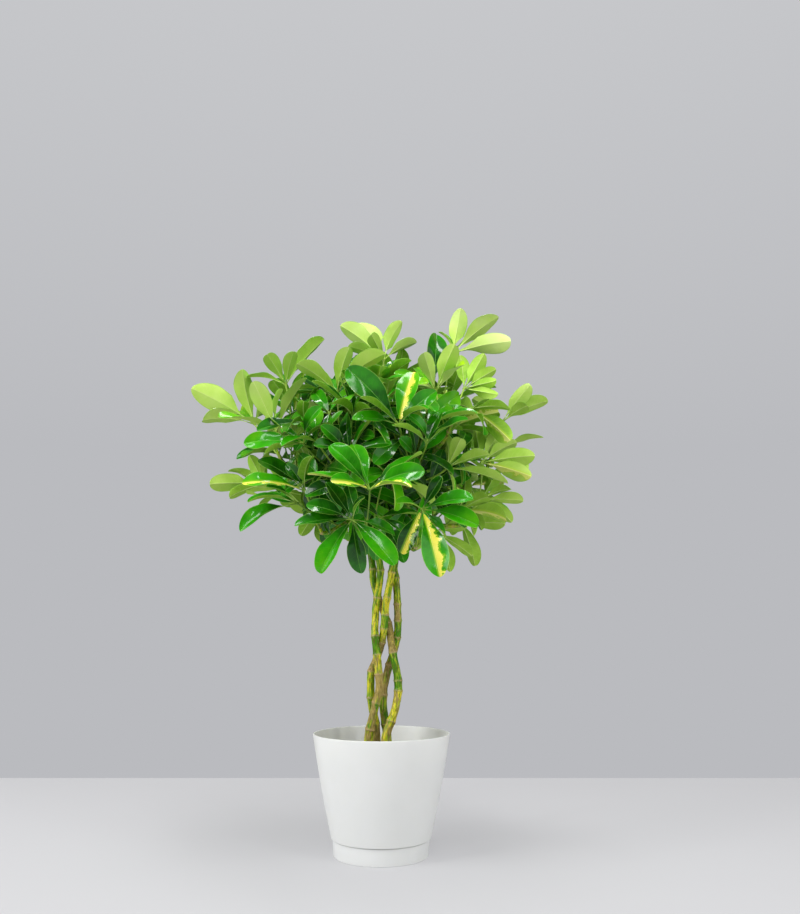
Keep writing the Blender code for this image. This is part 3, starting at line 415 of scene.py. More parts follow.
# From the soil up: the height in millimetres where each internode ends in a scar, and how yellow its skin is
# and how far cork covers it, from 0 to 1
# Most of the yellow is the skin's own; some is a painted highlight, as from 284 to 306 mm on the back left
# stem
INTERNODES = {
    "stem_front_left": [
        (146, 0.5, 0.44), (176.5, 0.3, 0.5), (211.7, 0.6, 0.6), (235.5, 0.85, 0.40), (257.3, 0.05, 0.12),
        (306, 0.75, 0.18), (340, 0.55, 0.15), (376, 0.3, 0.2), (410, 0.4, 0.1), (446, 0.2, 0.1),
        (520, 0.3, 0.0),
    ],
    "stem_front_right": [
        (126, 0.5, 0.5), (155, 0.7, 0.45), (191, 0.95, 0.42), (203.7, 0.2, 0.25), (236.9, 0.15, 0.10),
        (274, 0.5, 0.62), (306, 0.3, 0.55), (342, 0.4, 0.3), (380, 0.2, 0.2), (416, 0.4, 0.1),
        (500, 0.3, 0.0),
    ],
    "stem_back_left": [
        (150, 0.4, 0.6), (182, 0.7, 0.15), (214, 0.6, 0.2), (250, 0.4, 0.6), (268, 0.8, 0.45),
        (284, 0.15, 0.15), (306, 0.95, 0.12), (338, 0.8, 0.12), (372, 0.35, 0.2), (408, 0.5, 0.1),
        (444, 0.2, 0.1), (520, 0.3, 0.0),
    ],
    "stem_back_right": [
        (150, 0.4, 0.42), (186, 0.3, 0.4), (222, 0.4, 0.5), (256, 0.5, 0.48), (277, 0.15, 0.3),
        (298, 0.4, 0.5), (330, 0.45, 0.4), (366, 0.3, 0.3), (402, 0.4, 0.2), (440, 0.3, 0.1),
        (500, 0.3, 0.0),
    ],
}
STEM_RINGS = 300
STEM_SIDES = 20
STEM_GROWTH = 1.06          # these stems are a little fuller than the plain ones of the frame
SCAR_HALF = 0.0011          # half the width of a leaf scar's ring
SCAR_RISE = 0.0006
NODE_SWELL = 0.0005         # how much thicker a stem is round a scar
NODE_REACH = 0.004          # and how far along it from the scar
# Skin that has dried unevenly: the length and the height of its ridges
DRIED_RIDGES = ((0.006, 0.00035), (0.0024, 0.00012))
TONE_BLEND = 0.0012         # length over which one internode's tones turn to the next one's
STEM_SPACING = 1000.0       # keeps the stems' patterns apart from each other


def running_lengths(path):
    """The length along a path at each of its places."""
    lengths = [0.0]
    for here, after in zip(path, path[1:]):
        lengths.append(lengths[-1] + (after - here).length)
    return lengths


def smooth_path(points, steps):
    """Evenly spaced places along a smooth curve through the points."""
    padded = [points[0] * 2 - points[1], *points, points[-1] * 2 - points[-2]]
    fine = []
    for a, b, c, d in zip(padded, padded[1:], padded[2:], padded[3:]):
        for piece in range(CURVE_PIECES):
            t = piece / CURVE_PIECES
            fine.append(
                0.5 * (2 * b + (c - a) * t + (2 * a - 5 * b + 4 * c - d) * t * t
                       + (3 * b - a - 3 * c + d) * t * t * t)
            )
    fine.append(points[-1])
    lengths = running_lengths(fine)
    path = []
    at = 0
    for step in range(steps + 1):
        goal = lengths[-1] * step / steps
        while at < len(fine) - 2 and lengths[at + 1] < goal:
            at += 1
        span = max(lengths[at + 1] - lengths[at], 1e-9)
        path.append(fine[at].lerp(fine[at + 1], min(1.0, (goal - lengths[at]) / span)))
    return path


def tangents(path):
    """The way on along a path at each of its places."""
    around = [path[0], *path, path[-1]]
    return [(after - before).normalized() for before, after in zip(around, around[2:])]


def tube(path, radii, sides, lid=True):
    """A tube of polygon rings along a path, without twist; its top end is left open where lid is False."""
    ways = tangents(path)
    side_way = ways[0].orthogonal().normalized()
    points = []
    for place_on_path, way, radius in zip(path, ways, radii):
        side_way = (side_way - way * side_way.dot(way)).normalized()
        other_way = way.cross(side_way)
        for side in range(sides):
            angle = math.tau * side / sides
            points.append(
                place_on_path + (side_way * math.cos(angle) + other_way * math.sin(angle)) * radius
            )
    faces = [tuple(reversed(range(sides)))]
    for ring in range(len(path) - 1):
        for side in range(sides):
            after = (side + 1) % sides
            low = ring * sides
            high = low + sides
            faces.append((low + side, low + after, high + after, high + side))
    if lid:
        top = (len(path) - 1) * sides
        faces.append(tuple(range(top, top + sides)))
    return points, faces


def stem_path(name, steps):
    """Even places along a stem, from its roots up."""
    return smooth_path([Vector(point) * MM for point in STEM_PATHS[name]], steps)


def stem_radius(share):
    """Thickest in the soil, thinnest at the top."""
    return STEM_RADIUS + STEM_FOOT_SWELL * max(0.0, 1 - 5 * share) - STEM_TOP_TAPER * share


class Skin:
    """Points and faces under way to one mesh, with what its materials read at each point."""

    def __init__(self):
        self.points = []
        self.faces = []
        self.face_materials = []
        self.place = []
        self.finish = []
        self.margin = []

    def join(self, points, faces, material, places, finishes, margins=None):
        """Adds points and faces. Places are in millimetres along and across, finishes as materials want."""
        start = len(self.points)
        self.points += points
        self.faces += [tuple(start + n for n in face) for face in faces]
        self.face_materials += [material] * len(faces)
        self.place += places
        self.finish += finishes
        self.margin += margins or [0.0] * len(points)

    def mesh(self, name):
        """The mesh of all that was joined, with its places, finishes and margins as point attributes."""
        mesh = bpy.data.meshes.new(name)
        mesh.from_pydata([tuple(point) for point in self.points], [], self.faces)
        mesh.polygons.foreach_set("material_index", self.face_materials)
        for kind, rows in (("place", self.place), ("finish", self.finish)):
            layer = mesh.attributes.new(kind, "FLOAT_VECTOR", "POINT")
            layer.data.foreach_set("vector", [number for row in rows for number in row])
        mesh.attributes.new("margin", "FLOAT", "POINT").data.foreach_set("value", self.margin)
        mesh.update()
        return mesh


def scarred_tube(skin, path, radius_at, sides, scars, tone_at, start_mm=0.0):
    """A woody tube with a swelling and a raised ring at each scar. Scars are lengths along it, in metres."""
    radii = []
    finishes = []
    places = []
    for number, length in enumerate(running_lengths(path)):
        nearest = min((abs(length - scar) for scar in scars), default=1.0)
        swell = NODE_SWELL * math.exp(-(nearest / NODE_REACH) ** 2)
        ring = math.exp(-(nearest / SCAR_HALF) ** 2)
        thickness = radius_at(number / (len(path) - 1))
        radii.append(thickness * (1 + (swell + SCAR_RISE * ring) / STEM_RADIUS))
        yellow, cork = tone_at(length)
        finishes += [(yellow, cork, ring)] * sides
        for side in range(sides):
            places.append((start_mm + length / MM, side / sides * math.tau * thickness / MM, start_mm))
    points, faces = tube(path, radii, sides)
    for number, point in enumerate(points):
        rough = sum(noise.noise(point / long) * high for long, high in DRIED_RIDGES)
        points[number] = point + (point - path[number // sides]).normalized() * rough
    skin.join(points, faces, 0, places, finishes)


def skin_tones(path, rows):
    """The scars' lengths along a stem, and a function that gives the skin's tones at a length."""
    lengths = running_lengths(path)
    ends = []
    for top, yellow, cork in rows:
        at = next((n for n, place_on_path in enumerate(path) if place_on_path.z >= top * MM), len(path) - 1)
        ends.append((lengths[at], yellow, cork))

    def tone_at(length):
        number = next((n for n, end in enumerate(ends) if length <= end[0]), len(ends) - 1)
        _, yellow, cork = ends[number]
        if number + 1 < len(ends):
            blend = max(0.0, 1 - (ends[number][0] - length) / TONE_BLEND) / 2
            yellow += (ends[number + 1][1] - yellow) * blend
            cork += (ends[number + 1][2] - cork) * blend
        return yellow, cork
    return [end[0] for end in ends], tone_at


def young_bark():
    """Green stem skin part turned to cork: a faint wax gloss on the green, dull and rough on the tan."""
    material, tree, shader = new_material("young_schefflera_bark")
    place = add(tree, "ShaderNodeAttribute", attribute_name="place").outputs["Vector"]
    finish = add(tree, "ShaderNodeAttribute", attribute_name="finish").outputs["Vector"]
    yellow, cork, scar = add(tree, "ShaderNodeSeparateXYZ", {0: finish}).outputs
    spot = add(tree, "ShaderNodeTexCoord").outputs["Object"]
    # Patches 5.3 mm wide, a grain of 1.9 mm and bruises and lenticels of 2.4 mm, all drawn out along the stem
    # to about three times their width
    drawn = add(tree, "ShaderNodeMapping", {"Vector": spot, "Scale": (1.0, 1.0, 0.3)})
    patch = add(tree, "ShaderNodeTexNoise", {
        "Vector": drawn, "Scale": 1 / (5.26 * MM), "Detail": 4.0, "Roughness": 0.6})
    grain = add(tree, "ShaderNodeTexNoise", {"Vector": drawn, "Scale": 1 / (1.92 * MM), "Detail": 4.0})
    blotch = add(tree, "ShaderNodeTexNoise", {"Vector": drawn, "Scale": 1 / (2.38 * MM), "Detail": 3.0})
    pores = add(tree, "ShaderNodeTexVoronoi", {"Vector": drawn, "Scale": 1 / (2.38 * MM)})
    # Streaks along the stem, 3.1 mm wide and 20 mm long, take the skin from green to yellow. They are painted
    # light and shade that stand for the lit and the shaded sides of the round stem
    lengthwise = add(tree, "ShaderNodeMapping", {"Vector": place, "Scale": (1 / 20, 1 / 3.125, 1.0)})
    streak = add(tree, "ShaderNodeTexNoise", {"Vector": lengthwise, "Scale": 1.0, "Detail": 2.0})
    painted_side_light = add(tree, "ShaderNodeMapRange", {
        "Value": streak, "From Min": 0.35, "From Max": 0.65, "To Min": -0.6, "To Max": 0.45})
    yellow_and_side_light = add(tree, "ShaderNodeMath", {0: yellow, 1: painted_side_light}, operation="ADD", use_clamp=True)
    skin = add(tree, "ShaderNodeValToRGB", {"Fac": yellow_and_side_light})
    stops = skin.color_ramp.elements
    stops[0].color = linear("#4C8A04")
    stops[1].color = linear("#E6DA2E")
    stops.new(0.45).color = linear("#93B41C")
    # Olive bruises on the green
    bruise = add(tree, "ShaderNodeMapRange", {
        "Value": blotch, "From Min": 0.50, "From Max": 0.66, "To Max": 0.75})
    bruised = add(tree, "ShaderNodeMix", {0: bruise, 6: skin, 7: linear("#5C5A14")}, data_type="RGBA")
    # Tan cork, which covers the patches that the internode's share of cork lifts over a threshold
    grained = add(tree, "ShaderNodeMapRange", {"Value": grain, "From Min": 0.2, "From Max": 0.8})
    tan = add(tree, "ShaderNodeMix", {
        0: grained, 6: linear("#5C481C"), 7: linear("#D0B470")}, data_type="RGBA")
    covered = add(tree, "ShaderNodeMath", {0: patch, 1: cork}, operation="ADD")
    corked = add(tree, "ShaderNodeMapRange", {
        "Value": covered, "From Min": 0.88, "From Max": 1.04}, interpolation_type="SMOOTHSTEP")
    cork_share = add(tree, "ShaderNodeMath", {0: corked, 1: 0.88}, operation="MULTIPLY")
    body = add(tree, "ShaderNodeMix", {0: cork_share, 6: bruised, 7: tan}, data_type="RGBA")
    # Lenticels: pale corky dots
    dots = add(tree, "ShaderNodeMapRange", {
        "Value": pores, "From Min": 0.24, "From Max": 0.12})
    dot_share = add(tree, "ShaderNodeMath", {0: dots, 1: 0.45}, operation="MULTIPLY")
    dotted = add(tree, "ShaderNodeMix", {0: dot_share, 6: body, 7: linear("#C9B07C")}, data_type="RGBA")
    # The leaf scars' rings are pale, and broken where the patches are
    broken = add(tree, "ShaderNodeMapRange", {
        "Value": patch, "From Min": 0.3, "From Max": 0.65, "To Min": 0.25, "To Max": 1.0})
    ring_share = add(tree, "ShaderNodeMath", {0: scar, 1: broken}, operation="MULTIPLY")
    ringed = add(tree, "ShaderNodeMix", {0: ring_share, 6: dotted, 7: linear("#BFA276")}, data_type="RGBA")
    rough = add(tree, "ShaderNodeMapRange", {"Value": corked, "To Min": 0.38, "To Max": 0.8})
    relief = add(tree, "ShaderNodeMath", {0: grain, 1: corked}, operation="MULTIPLY")
    bump = add(tree, "ShaderNodeBump", {"Height": relief, "Strength": 0.5, "Distance": 0.5 * MM})
    feed(tree, shader, {
        "Base Color": ringed, "Normal": bump, "Roughness": rough, "IOR": 1.45, "Specular IOR Level": 0.35})
    return material


def grown_stem_radius(share):
    """The radius that a stem is drawn with."""
    return stem_radius(share) * STEM_GROWTH


bark = young_bark()
for number, stem_name in enumerate(STEM_PATHS):
    path = stem_path(stem_name, STEM_RINGS)
    scars, tone_at = skin_tones(path, INTERNODES[stem_name])
    stem_skin = Skin()
    scarred_tube(
        stem_skin, path, grown_stem_radius, STEM_SIDES, scars[:-1], tone_at, number * STEM_SPACING)
    put(stem_name + "_wood", stem_skin.mesh(stem_name + "_wood"), [bark], [stem_name])

# Crown: umbrella leaves on slim stalks, from side twigs that grew out of the cut-back stems. The leaves stand
# in a rough ball. Those in front are listed one by one, and the rest grow on an even spiral wherever there is
# room.
# This section works out where each twig, stalk and leaflet goes, and what each leaflet looks like.

LEAFLET_LENGTH = 0.076
LEAF_COUNT = 80
UP = Vector((0.0, 0.0, 1.0))
# Each has its hub in millimetres, the azimuth and rise of the way its face looks, and its leaflets: angle in
# the front view, lean towards the viewer, length in millimetres
FRONT_LEAVES = [
    ((-31, -150, 388), (262, 36), [(187, 15, 64), (238, 5, 72), (279, -8, 62), (311, 20, 78), (343, -25, 56),
                                   (160, 22, 58), (72, 45, 55), (123, 5, 52)]),
    ((-11, -165, 420), (268, 42), [(164, 10, 74), (129, 0, 70), (107, -12, 62), (184, 48, 60), (5, 40, 62),
                                   (20, 10, 68), (38, -8, 76)]),
    ((48, -140, 401), (278, 26), [(345, 10, 70), (12, 12, 66), (68, 50, 58), (178, 58, 56), (243, 0, 60),
                                  (282, 15, 82), (326, -30, 60)]),
    ((22, -135, 501), (262, 44), [(131, 12, 90), (150, 38, 66), (172, 25, 60), (77, -10, 72), (38, 25, 62),
                                  (22, 52, 56)]),
    ((93, -20, 627), (75, 52), [(78, -10, 68), (43, 0, 82), (9, 6, 78), (108, -36, 58), (60, -46, 66)]),
    ((67, -35, 575), (268, 42), [(84, -12, 84), (160, 20, 56), (118, -30, 56)]),
    ((1, 0, 625), (98, 56), [(137, -7, 80), (117, -24, 76), (73, -20, 68), (46, -26, 62), (168, 20, 56),
                             (125, 57, 52)]),
    ((-56, -75, 557), (120, 66), [(75, 30, 64), (49, -10, 88), (146, 33, 64), (104, -50, 60),
                                  (126, -28, 60)]),
    ((-127, -30, 581), (125, 58), [(120, 42, 54), (78, 40, 54), (52, -8, 82), (161, -18, 60),
                                   (100, -55, 58)]),
    ((-133, -60, 511), (135, 60), [(115, 18, 72), (58, 11, 80), (96, -22, 68), (165, 16, 76),
                                   (76, -40, 64)]),
    ((-171, 0, 535), (140, 50), [(151, 0, 97), (174, 14, 86), (101, 15, 75), (128, -36, 60),
                                 (74, -50, 56)]),
    ((-94, -100, 487), (256, 42), [(184, 10, 74), (205, 40, 60), (150, -12, 60), (71, 45, 56), (30, 30, 56)]),
    ((-90, -105, 428), (250, 48), [(169, 25, 74), (143, 2, 70), (131, 28, 60), (112, 8, 52), (70, 48, 56),
                                   (22, -45, 54)]),
    ((-105, -50, 421), (225, 38), [(203, 10, 82), (180, 26, 70), (168, -20, 80), (136, 34, 52)]),
    ((-161, 20, 457), (108, 36), [(177, 8, 72), (152, -10, 54), (205, 18, 50), (116, -24, 54),
                                  (86, -22, 50)]),
    ((158, 0, 537), (55, 50), [(50, 24, 66), (27, 0, 77), (12, 30, 68), (140, 10, 54)]),
    ((80, -88, 459), (20, 62), [(12, 35, 62), (345, 15, 78), (60, 48, 52), (318, 40, 60), (100, 10, 56),
                                  (30, -25, 64)]),
    ((128, -22, 478), (80, 36), [(5, 8, 74), (343, 6, 67), (34, -14, 60), (62, -20, 58), (96, -20, 54)]),
    ((162, 50, 513), (50, 55), [(12, 8, 62), (345, -30, 54), (316, 10, 50)]),
    ((97, -40, 412), (60, 44), [(338, -12, 86), (354, 13, 86), (12, -32, 62), (20, 38, 54), (306, 25, 56),
                                 (75, 0, 52)]),
    ((68, -30, 386), (60, 34), [(330, -2, 56), (292, -18, 52), (15, 6, 54), (215, -5, 36)]),
    ((105, 20, 404), (70, 38), [(292, -18, 60), (2, 5, 58), (36, 14, 54)]),
    ((105, -52, 569), (78, 30), [(61, -12, 56), (36, -4, 50), (12, 6, 44), (344, 12, 44), (92, -16, 54)]),
    ((110, -84, 534), (60, 46), [(316, 12, 66), (356, 30, 62), (280, 40, 54), (36, -50, 54)]),
    ((52, -100, 506), (275, 44), [(66, -20, 70), (42, -20, 74), (26, 0, 66), (8, 28, 70), (104, -30, 58),
                                  (162, 50, 54)]),
    ((54, -130, 481), (270, 46), [(167, 43, 60), (122, 40, 58), (53, -38, 60), (27, 34, 60), (94, -35, 58)]),
    ((-75, -115, 485), (242, 48), [(62, 22, 52), (95, -20, 56), (150, 10, 60), (130, -34, 56),
                                   (190, 40, 54)]),
    ((-1, -100, 397), (265, 50), [(305, 20, 66), (335, 0, 58), (264, -5, 50), (10, -30, 56), (150, 10, 50)]),
    ((-36, -120, 468), (255, 46), [(100, 0, 56), (60, 10, 56), (140, 10, 58), (178, 28, 56), (20, 30, 56)]),
    ((129, -10, 432), (60, 40), [(357, 12, 52), (22, 18, 46), (60, -20, 50), (329, -14, 50)]),
    ((67, -90, 555), (95, 50), [(110, 38, 58), (66, 30, 64), (36, 42, 58), (138, -46, 56), (85, -40, 56)]),
    ((-62, 8, 574), (100, 72), [(15, 0, 60), (165, 0, 60), (205, 20, 56), (335, 20, 56), (60, -60, 54),
                                (125, -60, 54)]),
]
CROWN_MIDDLE = Vector((-0.012, 0.006, 0.492))
CROWN_REACH = Vector((0.144, 0.160, 0.106))
GOLDEN_ANGLE = math.pi * (3 - math.sqrt(5))
LATTICE = 150
LEAST_SPACING = 0.047
INNER_DEPTH = 0.62          # the inner layer's size beside the outer one
FRONT_FROM = -0.25          # the lattice's leaves from here forward stand deeper, behind the listed ones
FRONT_DEPTH = 0.76
BARE_BELOW = -0.52          # no leaf lower than this on the lattice's ball, where the stems come in
# From the crown's underside to its top, leaves face up more and cup more, in degrees
LOW_RISE = 34.0
HIGH_RISE = 74.0
LOW_CUP = -8.0
HIGH_CUP = 42.0
# How far the draws of one leaf may be from that
ROOM_SPREAD = (0.96, 1.2)
RISE_SPREAD = (-12, 12)
AZIMUTH_SPREAD = (-50, 50)
CUP_SPREAD = (-10, 10)
LENGTH_SPREAD = (0.84, 1.02)
LEAFLET_COUNTS = (5, 6, 6)
CROWN_SEED = 23


def direction(azimuth, rise):
    """A way given by its azimuth and its rise in degrees."""
    azimuth = math.radians(azimuth)
    rise = math.radians(rise)
    return Vector((math.cos(azimuth) * math.cos(rise), math.sin(azimuth) * math.cos(rise), math.sin(rise)))


def face_plane(face):
    """The two ways across the plane that a leaf's face looks out of."""
    right = UP.cross(face).normalized()
    return right, face.cross(right)


def leaf_by_eye(hub, face, leaflets):
    """A leaf whose leaflets point the given ways in the front view."""
    face = direction(*face)
    right, rise = face_plane(face)
    slots = []
    for angle, lean, length in leaflets:
        angle = math.radians(angle)
        lean = math.radians(lean)
        way = Vector((math.cos(lean) * math.cos(angle), -math.sin(lean), math.cos(lean) * math.sin(angle)))
        turn = math.atan2(way.dot(rise), way.dot(right))
        slots.append((turn, math.degrees(math.asin(way.dot(face))), length * MM))
    return {"hub": Vector(hub) * MM, "face": face, "slots": slots, "leaflets": []}


def even_leaf(hub, face, cup, count, length, turn):
    """A leaf whose leaflets stand evenly round it."""
    slots = [(turn + math.tau * slot / count, cup, length) for slot in range(count)]
    return {"hub": hub, "face": face, "slots": slots, "leaflets": []}


def crown_leaves(rng):
    """The listed leaves, then more on a golden-angle lattice wherever there is room."""
    leaves = [leaf_by_eye(*row) for row in FRONT_LEAVES]
    for depth in (1.0, INNER_DEPTH):
        for step in range(LATTICE):
            level = 1 - 2 * (step + 0.5) / LATTICE
            around = step * GOLDEN_ANGLE
            ring = math.sqrt(1 - level * level)
            out = Vector((ring * math.cos(around), ring * math.sin(around), level))
            reach = depth * (FRONT_DEPTH if out.y < FRONT_FROM else 1.0)
            hub = CROWN_MIDDLE + Vector(a * b for a, b in zip(out, CROWN_REACH)) * reach
            room = LEAST_SPACING * rng.uniform(*ROOM_SPREAD)
            if level < BARE_BELOW or any((hub - other["hub"]).length < room for other in leaves):
                continue
            height_share = (level + 1) / 2
            rise = LOW_RISE + (HIGH_RISE - LOW_RISE) * height_share + rng.uniform(*RISE_SPREAD)
            azimuth = math.degrees(math.atan2(out.y, out.x)) + rng.uniform(*AZIMUTH_SPREAD)
            cup = LOW_CUP + (HIGH_CUP - LOW_CUP) * height_share + rng.uniform(*CUP_SPREAD)
            length = LEAFLET_LENGTH * rng.uniform(*LENGTH_SPREAD)
            count = rng.choice(LEAFLET_COUNTS)
            leaves.append(even_leaf(
                hub, direction(azimuth, rise), cup, count, length, rng.uniform(0, math.tau)))
            if len(leaves) == LEAF_COUNT:
                return leaves
    return leaves


# Twigs: the next values and functions give each group of leaves its twig and each leaf its stalk
SHOOT_COUNT = 18
STALK_BACK = 0.050          # how far behind its hub a leaf's stalk should start
SHOOT_RADIUS = 0.0025
SHOOT_SIDES = 5
SHOOT_STEPS = 5
SHOOT_OUT = 0.35            # shares of a shoot's run: how far it goes straight out, and ends rising
SHOOT_RISE = 0.30
FIRST_STEP = 0.8
SHOOT_SWAY = 0.9            # the furthest bend tried to get a shoot or a stalk past what is in its way
STALK_SWAY = 1.4
FIRST_LEAF_AT = 0.45
LAST_LEAF_AT = 0.94
FOOT_SLIDE = 0.35           # how far along its shoot a stalk's foot may slide, per unit of bend
STALK_RADIUS = 0.0012
STALK_SIDES = 3
STALK_STEPS = 3
STALK_OUT = 0.33            # share of a stalk's run that it goes straight at either end
STALK_SLANT = 1.4           # how much a stalk slants where it meets its leaf, from square to straight on
LOWEST_SHOOT = 0.385
GROUPING_ROUNDS = 12
HUB_BELOW = 0.0017
PLAIN_STEM_RINGS = 20
PLAIN_STEM_SIDES = 7
STEM_CLEAR = 0.001          # air kept round a stem


def stem_guard(name):
    """A plain stem swollen all round, for keeping the crown's pieces clear of it."""
    path = stem_path(name, PLAIN_STEM_RINGS)
    radii = [stem_radius(ring / PLAIN_STEM_RINGS) + STEM_CLEAR for ring in range(PLAIN_STEM_RINGS + 1)]
    path[0] = path[0] - (path[1] - path[0]).normalized() * STEM_CLEAR
    return tube(path, radii, PLAIN_STEM_SIDES)


def arch(start, first_pull, last_pull, end, steps):
    """Places along a cubic arch from start to end."""
    path = []
    for step in range(steps + 1):
        t = step / steps
        u = 1.0 - t
        path.append(start * u**3 + first_pull * (3 * u * u * t) + last_pull * (3 * u * t * t) + end * t**3)
    return path


def stem_place(path, height):
    """The place, the way and the share of the length on a stem's path at a height, at most its tip's."""
    for number, (here, after) in enumerate(zip(path, path[1:])):
        if here.z <= height <= after.z:
            part_way = (height - here.z) / (after.z - here.z)
            share = (number + part_way) / (len(path) - 1)
            return here.lerp(after, part_way), (after - here).normalized(), share
    return path[-1], (path[-1] - path[-2]).normalized(), 1.0


def stalk_foot(one):
    """Roughly where a leaf's stalk should start."""
    return one["hub"] - one["face"] * STALK_BACK


def grouped(leaves):
    """Leaves in SHOOT_COUNT near groups: far-apart seeds first, then a few rounds of moving to the mean."""
    feet = [stalk_foot(one) for one in leaves]
    middles = [feet[0]]
    while len(middles) < SHOOT_COUNT:
        middles.append(max(feet, key=lambda foot: min((foot - middle).length for middle in middles)))
    for _ in range(GROUPING_ROUNDS):
        groups = [[] for _ in middles]
        for number, foot in enumerate(feet):
            nearest = min(range(len(middles)), key=lambda m: (foot - middles[m]).length)
            groups[nearest].append(number)
        middles = [
            sum((feet[number] for number in group), Vector()) / len(group) if group else middle
            for group, middle in zip(groups, middles)
        ]
    return [(middle, group) for middle, group in zip(middles, groups) if group]


def crown_shoots(leaves, stems):
    """Gives each group of leaves a shoot on its nearest stem; the highest one goes on from the stem's tip."""
    by_stem = {name: [] for name in stems}
    for middle, group in grouped(leaves):
        def away(name):
            tip = stems[name][-1]
            return math.hypot(middle.x - tip.x, middle.y - tip.y)
        by_stem[min(stems, key=away)].append((middle, group))
    shoots = []
    for name, members in by_stem.items():
        members.sort(key=lambda member: member[0].z)
        tip = stems[name][-1]
        for rank, (middle, group) in enumerate(members):
            height = LOWEST_SHOOT + (tip.z - LOWEST_SHOOT) * rank / max(1, len(members) - 1)
            spot, way, share = stem_place(stems[name], height)
            if rank == len(members) - 1:
                out = (tip - stems[name][-2]).normalized()
                start = tip + out * AIR
            else:
                out = middle - spot
                out = (out - way * out.dot(way)).normalized()
                start = spot + out * (stem_radius(share) + AIR)
            shoots.append({"start": start, "out": out, "end": middle, "leaves": group})
    return shoots


def shoot_path(shoot, bend):
    """The path of a shoot's twig: straight out of the stem at first, then up to the middle of its stalks."""
    run = (shoot["end"] - shoot["start"]).length
    first = shoot["start"] + (shoot["out"] * SHOOT_OUT + bend / 2) * run
    last = shoot["end"] + (bend / 3 - UP * SHOOT_RISE) * run
    path = arch(shoot["start"], first, last, shoot["end"], SHOOT_STEPS)
    path[1] = shoot["start"] + shoot["out"] * run * FIRST_STEP / SHOOT_STEPS
    return path


def along(path, share):
    """The place at a share of the way along a path."""
    at = min(int(share * (len(path) - 1)), len(path) - 2)
    return path[at].lerp(path[at + 1], share * (len(path) - 1) - at)


def stalk_pulls(one, foot, bend):
    """The ends and pulls of a leaf stalk from inside its twig up to the underside of the leaf's hub."""
    end = one["hub"] - one["face"] * HUB_BELOW
    run = (end - foot).length
    out = (end - foot).normalized()
    arrive = (one["face"] + out * STALK_SLANT).normalized()
    first = foot + (out * STALK_OUT + bend / 2) * run
    last = end + (bend / 4 - arrive * STALK_OUT) * run
    return foot, first, last, end


# Blades: the next ones open each leaf's blades round its hub, each where it touches nothing
LEAFLET_WIDTH_SHARE = 0.34
STATIONS = (0.24, 0.60, 0.87)
BLADE_THICK = (0.0016, 0.0015, 0.0012)
WIDEST_LATE = 1.9           # 1 would put a blade's widest place at half its length
ROUNDNESS = 0.56
FOLD = 0.30                 # how far a blade's edges stand above its midrib, per half width
ARCH = 26.0                 # how far a blade bends down from root to tip, in degrees
ARCH_STEPS = 6
ARCH_ABOVE = 0.5            # share of the arch that lifts a blade's root above its cup
CUP_RANGE = (-50.0, 70.0)
HUB_RADIUS = 0.0032
HUB_ABOVE = 0.0012
GUARD_RADIUS = 0.014
ROOM_SHARE = 0.7            # how much of the room between two blades' roots the blades may fill
LEAST_HALF_WIDTH = 0.0008
CORNER_GAP = math.radians(80)
CLEAR = 0.0012              # air kept round a blade when it is fitted among the others
TEST_FROM = 0.13            # share of its length from which a blade is tested, past the hub
TRIES = 48                  # draws made to find a blade a free place
BEND_TRIES = 160            # and to find a twig or a stalk a free way
OWN_STALK_SWELL = 1.5       # how thick a leaf's own stalk is taken to be when its blades are fitted
NEAR_BLADES = 1.2           # how many leaflet lengths away other blades are looked for
SETTLE_STEPS = 5
SETTLE_STEP = 0.009         # how far a crowded leaf is drawn in towards the crown's middle each time
# How far a blade may be drawn from its slot at the first try, and how much further by the last
SPREAD = {"turn": (0.06, 0.32), "cup": (4, 34), "arch": (9, 24), "twist": (0.18, 0.7), "length": (0.04, 0)}
SHORTENING = 0.32


def blade_share(s):
    """Half-width along an obovate blade, 0 to 1: a narrow base, widest past the middle, a round tip."""
    return math.sin(math.pi * s**WIDEST_LATE) ** ROUNDNESS


def blade_frame(one, blade, s):
    """Middle, side way and upward way of a blade at a share s of its length."""
    right, rise = face_plane(one["face"])
    out = right * math.cos(blade["turn"]) + rise * math.sin(blade["turn"])
    side = one["face"].cross(out)
    middle = one["hub"].copy()
    for step in range(ARCH_STEPS):
        lift = blade["lift"] - blade["arch"] * s * (step + 0.5) / ARCH_STEPS
        middle += (out * math.cos(lift) + one["face"] * math.sin(lift)) * blade["length"] * s / ARCH_STEPS
    lift = blade["lift"] - blade["arch"] * s
    onward = out * math.cos(lift) + one["face"] * math.sin(lift)
    upward = onward.cross(side)
    twist = blade["twist"] * s
    return (middle, side * math.cos(twist) + upward * math.sin(twist),
            upward * math.cos(twist) - side * math.sin(twist))


def gap_beside(one, blade):
    """The turn from a blade to the nearest other blade of its leaf."""
    turns = [abs((other["turn"] - blade["turn"] + math.pi) % math.tau - math.pi)
             for other in one["leaflets"] if other is not blade]
    return min(turns, default=math.pi)


def root_room(one, blade):
    """Half the room that a blade's neighbours leave it at its first station, near the hub."""
    reach = STATIONS[0] * blade["length"] * math.cos(blade["lift"])
    return max(reach * math.sin(gap_beside(one, blade) / 2) * ROOM_SHARE, LEAST_HALF_WIDTH)


def blade_rings(one, blade, grow):
    """Left edge, ridge above, right edge and keel below, at each station, and the tip."""
    half = blade["length"] * LEAFLET_WIDTH_SHARE / 2
    rings = []
    for s, thick in zip(STATIONS, BLADE_THICK):
        middle, side, upward = blade_frame(one, blade, s)
        wide = half * blade_share(s)
        if s == STATIONS[0]:
            wide = min(wide, root_room(one, blade))
        edge_lift = upward * wide * FOLD
        rings.append([
            middle - side * (wide + grow) + edge_lift,
            middle + upward * (thick / 2 + grow),
            middle + side * (wide + grow) + edge_lift,
            middle - upward * (thick / 2 + grow),
        ])
    return rings, blade_frame(one, blade, 1.0)[0]


